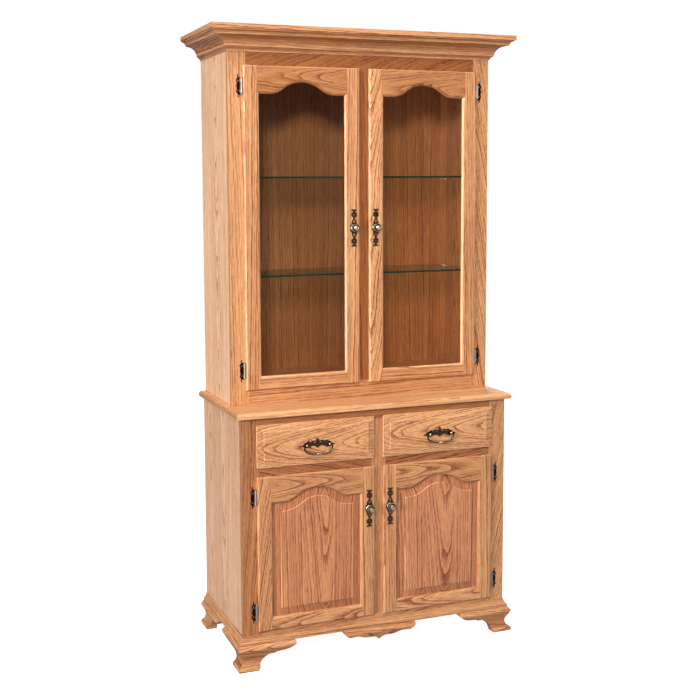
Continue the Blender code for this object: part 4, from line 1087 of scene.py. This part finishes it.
def bail_rod(side, middle, axis_y, height):
    """A cast bail that swells towards its middle, with three beads there."""
    look = bpy.context.scene.hutch_metal
    node = f"{side}_drawer_bail"
    low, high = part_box(node)
    thick, swell = look.bail_radius, look.bail_swell
    drop = height - low.z - swell
    inner = PULL_CENTRES / 2 + 0.0002
    flat = bail_path((high.x - low.x) / 2 - thick, drop, BAIL_BEND)
    flat = [(inner, 0.0)] + flat + [(-inner, 0.0)]
    radii = []
    for x, z in flat:
        rise = max(0.0, min(1.0, (-z / drop - 0.45) / 0.45))
        taper = 1 - 0.35 * max(0.0, 1 - abs(x) / 0.012)
        radii.append(thick + (swell - thick) * rise * rise * (3 - 2 * rise) * taper)
    bm = bmesh.new()
    swept_rod(bm, [Vector((middle + x, axis_y, height + z)) for x, z in flat], radii, 16)
    close(bm)
    bottom = height - drop
    for x, r, wide in BEADS:
        beads = bmesh.ops.create_uvsphere(bm, u_segments=20, v_segments=12, radius=1)["verts"]
        place = Matrix.Translation((middle + x, axis_y, bottom + BEAD_LIFT))
        bmesh.ops.transform(bm, verts=beads, matrix=place @ Matrix.Diagonal((wide, r, r, 1)))

    def wear_and_highlight_at(co):
        if abs(co.x - middle) < BRIGHT_MIDDLE[0] and co.z < bottom + BRIGHT_MIDDLE[1]:
            return 1.1
        return 0.05 + 0.50 * min(1.0, max(0.0, (height - co.z) / drop * 1.2))

    rub(bm, wear_and_highlight_at)
    add_piece(f"{side}_bail_rod", node, bm, [metal("worn_brass")])


# Upper half of a frame leaf's scrolled edge, from its middle: (out from the barrel, up)
LEAF_HALF = [(0.0120, 0.0), (0.0112, 0.0060), (0.0098, 0.0085), (0.0116, 0.0125),
             (0.0128, 0.0170), (0.0108, 0.0215), (0.0082, 0.0240), (0.0086, 0.0275),
             (0.0090, 0.0310), (0.0078, 0.0340), (0.0056, 0.0350), (0.0042, 0.0335),
             (0.0048, 0.0315), (0.0064, 0.0318), (0.0060, 0.0288), (0.0036, 0.0262),
             (0.0, 0.0245)]
BARREL_RADIUS = 0.0038
BARREL_LENGTH = 0.048
# Frame knuckles, as (share of the radius, metres beyond the inner end) and then beyond the
# outer end, where the ball finial stands
KNUCKLE_START = [(0.0, 0.0), (0.9, 0.0), (1.0, 0.0004)]
KNUCKLE_END = [(1.0, -0.0016), (0.84, -0.0010), (0.84, -0.0006), (0.98, 0.0), (0.6, 0.0008),
               (0.42, 0.0012), (0.52, 0.0020), (0.34, 0.0030), (0.0, 0.0033)]
# A screw head: (radius, metres behind the leaf's face)
SCREW = [(0.0, 0.0004), (0.0026, 0.0004), (0.0026, -0.0002), (0.0021, -0.0008),
         (0.0010, -0.0011), (0.0, -0.00115)]
SCREW_OUT, SCREW_UP = 0.0066, 0.0150
LEAF_GAP = 0.0003  # between the barrel and the leaf's scrolls
LEAF_EDGE = 0.0003
SCREW_HEIGHT = 0.0013  # what stands further out than this is the barrel


def hinge_pieces():
    for level in LEVELS:
        for way, side in WAYS:
            for word in ("bottom", "top"):
                prefix = f"{level}_{side}_door_{word}_hinge"
                frame_leaf(f"{level}_{side}_{word}_hinge_leaf", f"{prefix}_frame_leaf", way)
                refinish(f"{prefix}_door_leaf", metal("hinge_brass"))


def frame_leaf(name, node, way):
    """The scrolled leaf on the face frame, with its screws, knuckles and ball finials."""
    low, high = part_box(node)
    middle = (low.z + high.z) / 2
    radius = BARREL_RADIUS
    axis_x = high.x - radius if way < 0 else low.x + radius
    axis_y = low.y + radius
    back = high.y
    face = back - LEAF_THICKNESS
    loop = smooth_loop(LEAF_HALF + [(x, -z) for x, z in reversed(LEAF_HALF[1:])], 3)
    loop = [(way * (radius + LEAF_GAP + max(x, 0.0)), z) for x, z in loop]
    bm = bmesh.new()
    pierced_plate(bm, (axis_x, middle), loop, [], back, face, LEAF_EDGE)
    for sign in (-1, 1):
        screw = (axis_x + way * (radius + SCREW_OUT), 0, middle + sign * SCREW_UP)
        spun(bm, screw, [(wide, face + deep) for wide, deep in SCREW], 20)
    for sign in (-1, 1):
        start, end = middle + sign * BARREL_LENGTH / 6, middle + sign * BARREL_LENGTH / 2
        profile = [(radius * wide, start + sign * out) for wide, out in KNUCKLE_START]
        profile += [(radius * wide, end + sign * out) for wide, out in KNUCKLE_END]
        spun(bm, (axis_x, axis_y, 0), profile, 24, Z)
        wing = bmesh.ops.create_cube(bm, size=1)["verts"]
        place = Matrix.Translation((axis_x + way * radius * 0.75, axis_y + radius * 0.62,
                                    (start + end) / 2))
        bmesh.ops.transform(bm, verts=wing, matrix=place @ Matrix.Diagonal(
            (radius * 1.5, radius * 0.72, abs(end - start) - 0.0024, 1)))
    bmesh.ops.remove_doubles(bm, verts=bm.verts[:], dist=TOUCHING)
    bmesh.ops.recalc_face_normals(bm, faces=bm.faces[:])

    # The leaf's face is dark, its barrel and screws half bright, and its rim bright as a painted
    # highlight
    def wear_and_highlight_at(co):
        if co.y < face - 0.0001:
            return 0.5
        return 0.1 if co.y < face + 0.0001 else 0.9

    rub(bm, wear_and_highlight_at)
    for f in bm.faces:
        f.material_index = 1 if f.calc_center_median().y < face - SCREW_HEIGHT else 0
    add_piece(name, node, bm, [metal("worn_brass"), metal("hinge_brass")])


# Stage

IMAGE_SIDE = 700  # pixels of the photograph's frame
SENSOR = 36.0  # millimetres
CAMERA_PLACE = (-1.44674, -3.44076, 1.49502)
CAMERA_TURN = (20.49682, -5.61088, -0.36918)  # yaw, pitch and roll in degrees
CAMERA_SHIFT = (41.0135, -52.5958)  # pixels
# Of each light: its place, the height at which it aims, its width and height
LIGHTS = {"key": ((-2.2, -4.6, 3.1), 0.8, (0.8, 0.8)),
          "top": ((-0.4, -1.8, 4.2), 0.8, (1.6, 1.0)),
          "side": ((-5.0, -2.6, 1.4), 1.1, (1.2, 3.2)),
          "right": ((5.0, 0.6, 2.2), 1.0, (2.2, 2.2)),
          "back": ((1.8, 5.0, 4.6), 1.0, (2.4, 2.0))}


def matt_floor(tree, shader):
    """Plain pale floor, overexposed for the camera alone."""
    look = bpy.context.scene.hutch_stage
    grit = stretched_noise(tree, object_place(tree), (40, 40, 40), 4.0, 0.6)
    pale = tuple(look.floor)
    colour = mix(tree, grit, tuple(c * 0.985 for c in pale), pale)
    tree.links.new(colour, shader.inputs["Base Color"])
    shader.inputs["Roughness"].default_value = 0.9
    shader.inputs["Specular IOR Level"].default_value = 0.1
    shader.inputs["Emission Color"].default_value = (1, 1, 1, 1)
    seen = node_of(tree, "ShaderNodeLightPath").outputs["Is Camera Ray"]
    tree.links.new(maths(tree, "MULTIPLY", seen, look.glow), shader.inputs["Emission Strength"])


def stage_floor():
    bm = bmesh.new()
    bmesh.ops.create_grid(bm, x_segments=2, y_segments=2, size=14)
    mesh = bpy.data.meshes.new("floor")
    bm.to_mesh(mesh)
    bm.free()
    mesh.materials.append(finish_of("matt_floor", matt_floor))
    floor = bpy.data.objects.new("floor", mesh)
    bpy.context.scene.collection.objects.link(floor)


def stage_world():
    sky = bpy.context.scene.hutch_stage.sky
    world = bpy.data.worlds.new("studio")
    bpy.context.scene.world = world
    world.use_nodes = True
    tree = world.node_tree
    seen = node_of(tree, "ShaderNodeLightPath").outputs["Is Camera Ray"]
    back = tree.nodes["Background"]
    back.inputs["Color"].default_value = (1, 1, 1, 1)
    tree.links.new(maths(tree, "MULTIPLY_ADD", seen, 1.0 - sky, sky), back.inputs["Strength"])


def stage_light(name):
    """A soft rectangular light that aims at a height on the hutch's axis."""
    place, aim, size = LIGHTS[name]
    data = bpy.data.lights.new(name, "AREA")
    data.shape, data.size, data.size_y = "RECTANGLE", *size
    data.energy = getattr(bpy.context.scene.hutch_stage, name)
    lamp = bpy.data.objects.new(name, data)
    lamp.location = place
    toward = Vector((0, 0, aim)) - Vector(place)
    lamp.rotation_euler = toward.to_track_quat("-Z", "Y").to_euler()
    bpy.context.scene.collection.objects.link(lamp)


def stage_camera():
    """The photograph's own view. With no turn at all it would look level along +Y."""
    data = bpy.data.cameras.new("camera")
    data.sensor_width, data.lens = SENSOR, bpy.context.scene.hutch_stage.lens
    data.shift_x, data.shift_y = (pixels / IMAGE_SIDE for pixels in CAMERA_SHIFT)
    data.clip_start, data.clip_end = 0.05, 60
    camera = bpy.data.objects.new("camera", data)
    bpy.context.scene.collection.objects.link(camera)
    yaw, pitch, roll = (math.radians(a) for a in CAMERA_TURN)
    turn = (Matrix.Rotation(-yaw, 4, "Z") @ Matrix.Rotation(math.pi / 2 + pitch, 4, "X")
            @ Matrix.Rotation(roll, 4, "Z"))
    camera.matrix_world = Matrix.Translation(CAMERA_PLACE) @ turn
    bpy.context.scene.camera = camera


def stage_pieces():
    stage_floor()
    stage_world()
    for name in LIGHTS:
        stage_light(name)
    stage_camera()
    bpy.context.scene.view_settings.view_transform = "Standard"


# Operators and panel


class HUTCH_OT_case(bpy.types.Operator):
    """Glue up the sides, top, floor and back of the case"""
    bl_idname = "hutch.case"
    bl_label = "Display case"

    def execute(self, context):
        case_pieces()
        return {"FINISHED"}


class HUTCH_OT_face_frames(bpy.types.Operator):
    """Join the stiles and rails of both face frames"""
    bl_idname = "hutch.face_frames"
    bl_label = "Face frames"

    def execute(self, context):
        face_frame_pieces()
        return {"FINISHED"}


class HUTCH_OT_mouldings(bpy.types.Operator):
    """Mitre the crown and base moulding, lay the countertop"""
    bl_idname = "hutch.mouldings"
    bl_label = "Mouldings"

    def execute(self, context):
        moulding_pieces()
        return {"FINISHED"}


class HUTCH_OT_feet(bpy.types.Operator):
    """Mitre the bracket feet and hang the pendant"""
    bl_idname = "hutch.feet"
    bl_label = "Feet"

    def execute(self, context):
        foot_pieces()
        return {"FINISHED"}


class HUTCH_OT_base(bpy.types.Operator):
    """Glue up the boards of the base cabinet"""
    bl_idname = "hutch.base"
    bl_label = "Base cabinet"

    def execute(self, context):
        base_pieces()
        return {"FINISHED"}


class HUTCH_OT_doors(bpy.types.Operator):
    """Join the stiles and rails of the doors and fit the raised panels"""
    bl_idname = "hutch.doors"
    bl_label = "Doors"

    def execute(self, context):
        door_pieces()
        return {"FINISHED"}


class HUTCH_OT_drawers(bpy.types.Operator):
    """Build the drawer fronts and boxes"""
    bl_idname = "hutch.drawers"
    bl_label = "Drawers"

    def execute(self, context):
        drawer_pieces()
        return {"FINISHED"}


class HUTCH_OT_glass(bpy.types.Operator):
    """Glaze the doors and lay the glass shelves"""
    bl_idname = "hutch.glass"
    bl_label = "Glass"

    def execute(self, context):
        glass_pieces()
        return {"FINISHED"}


class HUTCH_OT_knobs(bpy.types.Operator):
    """Cast the knobs and their pierced plates"""
    bl_idname = "hutch.knobs"
    bl_label = "Knobs"

    def execute(self, context):
        knob_pieces()
        return {"FINISHED"}


class HUTCH_OT_pulls(bpy.types.Operator):
    """Cast the drawer pulls with their posts and bails"""
    bl_idname = "hutch.pulls"
    bl_label = "Pulls"

    def execute(self, context):
        pull_pieces()
        return {"FINISHED"}


class HUTCH_OT_hinges(bpy.types.Operator):
    """Fit the scrolled hinge leaves with their screws"""
    bl_idname = "hutch.hinges"
    bl_label = "Hinges"

    def execute(self, context):
        hinge_pieces()
        return {"FINISHED"}


class HUTCH_OT_stage(bpy.types.Operator):
    """Lay the floor, hang the lights and set the camera"""
    bl_idname = "hutch.stage"
    bl_label = "Stage"

    def execute(self, context):
        stage_pieces()
        return {"FINISHED"}


OPERATORS = (HUTCH_OT_case, HUTCH_OT_face_frames, HUTCH_OT_mouldings, HUTCH_OT_feet,
             HUTCH_OT_base, HUTCH_OT_doors, HUTCH_OT_drawers, HUTCH_OT_glass, HUTCH_OT_knobs,
             HUTCH_OT_pulls, HUTCH_OT_hinges, HUTCH_OT_stage)
SETTINGS = {"hutch_wood": HutchWood, "hutch_metal": HutchMetal, "hutch_glass": HutchGlass,
            "hutch_stage": HutchStage}


class HUTCH_PT_panel(bpy.types.Panel):
    """Lists the hutch's pieces and their settings."""
    bl_label = "China Hutch"
    bl_space_type = "VIEW_3D"
    bl_region_type = "UI"
    bl_category = "Hutch"

    def draw(self, context):
        for step in OPERATORS:
            self.layout.operator(step.bl_idname)
        for name in SETTINGS:
            box = self.layout.box()
            group = getattr(context.scene, name)
            for key in group.__annotations__:
                box.prop(group, key)


def register():
    for part in (*SETTINGS.values(), *OPERATORS, HUTCH_PT_panel):
        bpy.utils.register_class(part)
    for name, group in SETTINGS.items():
        setattr(bpy.types.Scene, name, PointerProperty(type=group))


def unregister():
    for name in SETTINGS:
        delattr(bpy.types.Scene, name)
    for part in (HUTCH_PT_panel, *reversed(OPERATORS), *SETTINGS.values()):
        bpy.utils.unregister_class(part)


def main():
    register()
    for step in OPERATORS:
        getattr(bpy.ops.hutch, step.bl_idname.split(".")[1])()


if __name__ == "__main__":
    main()
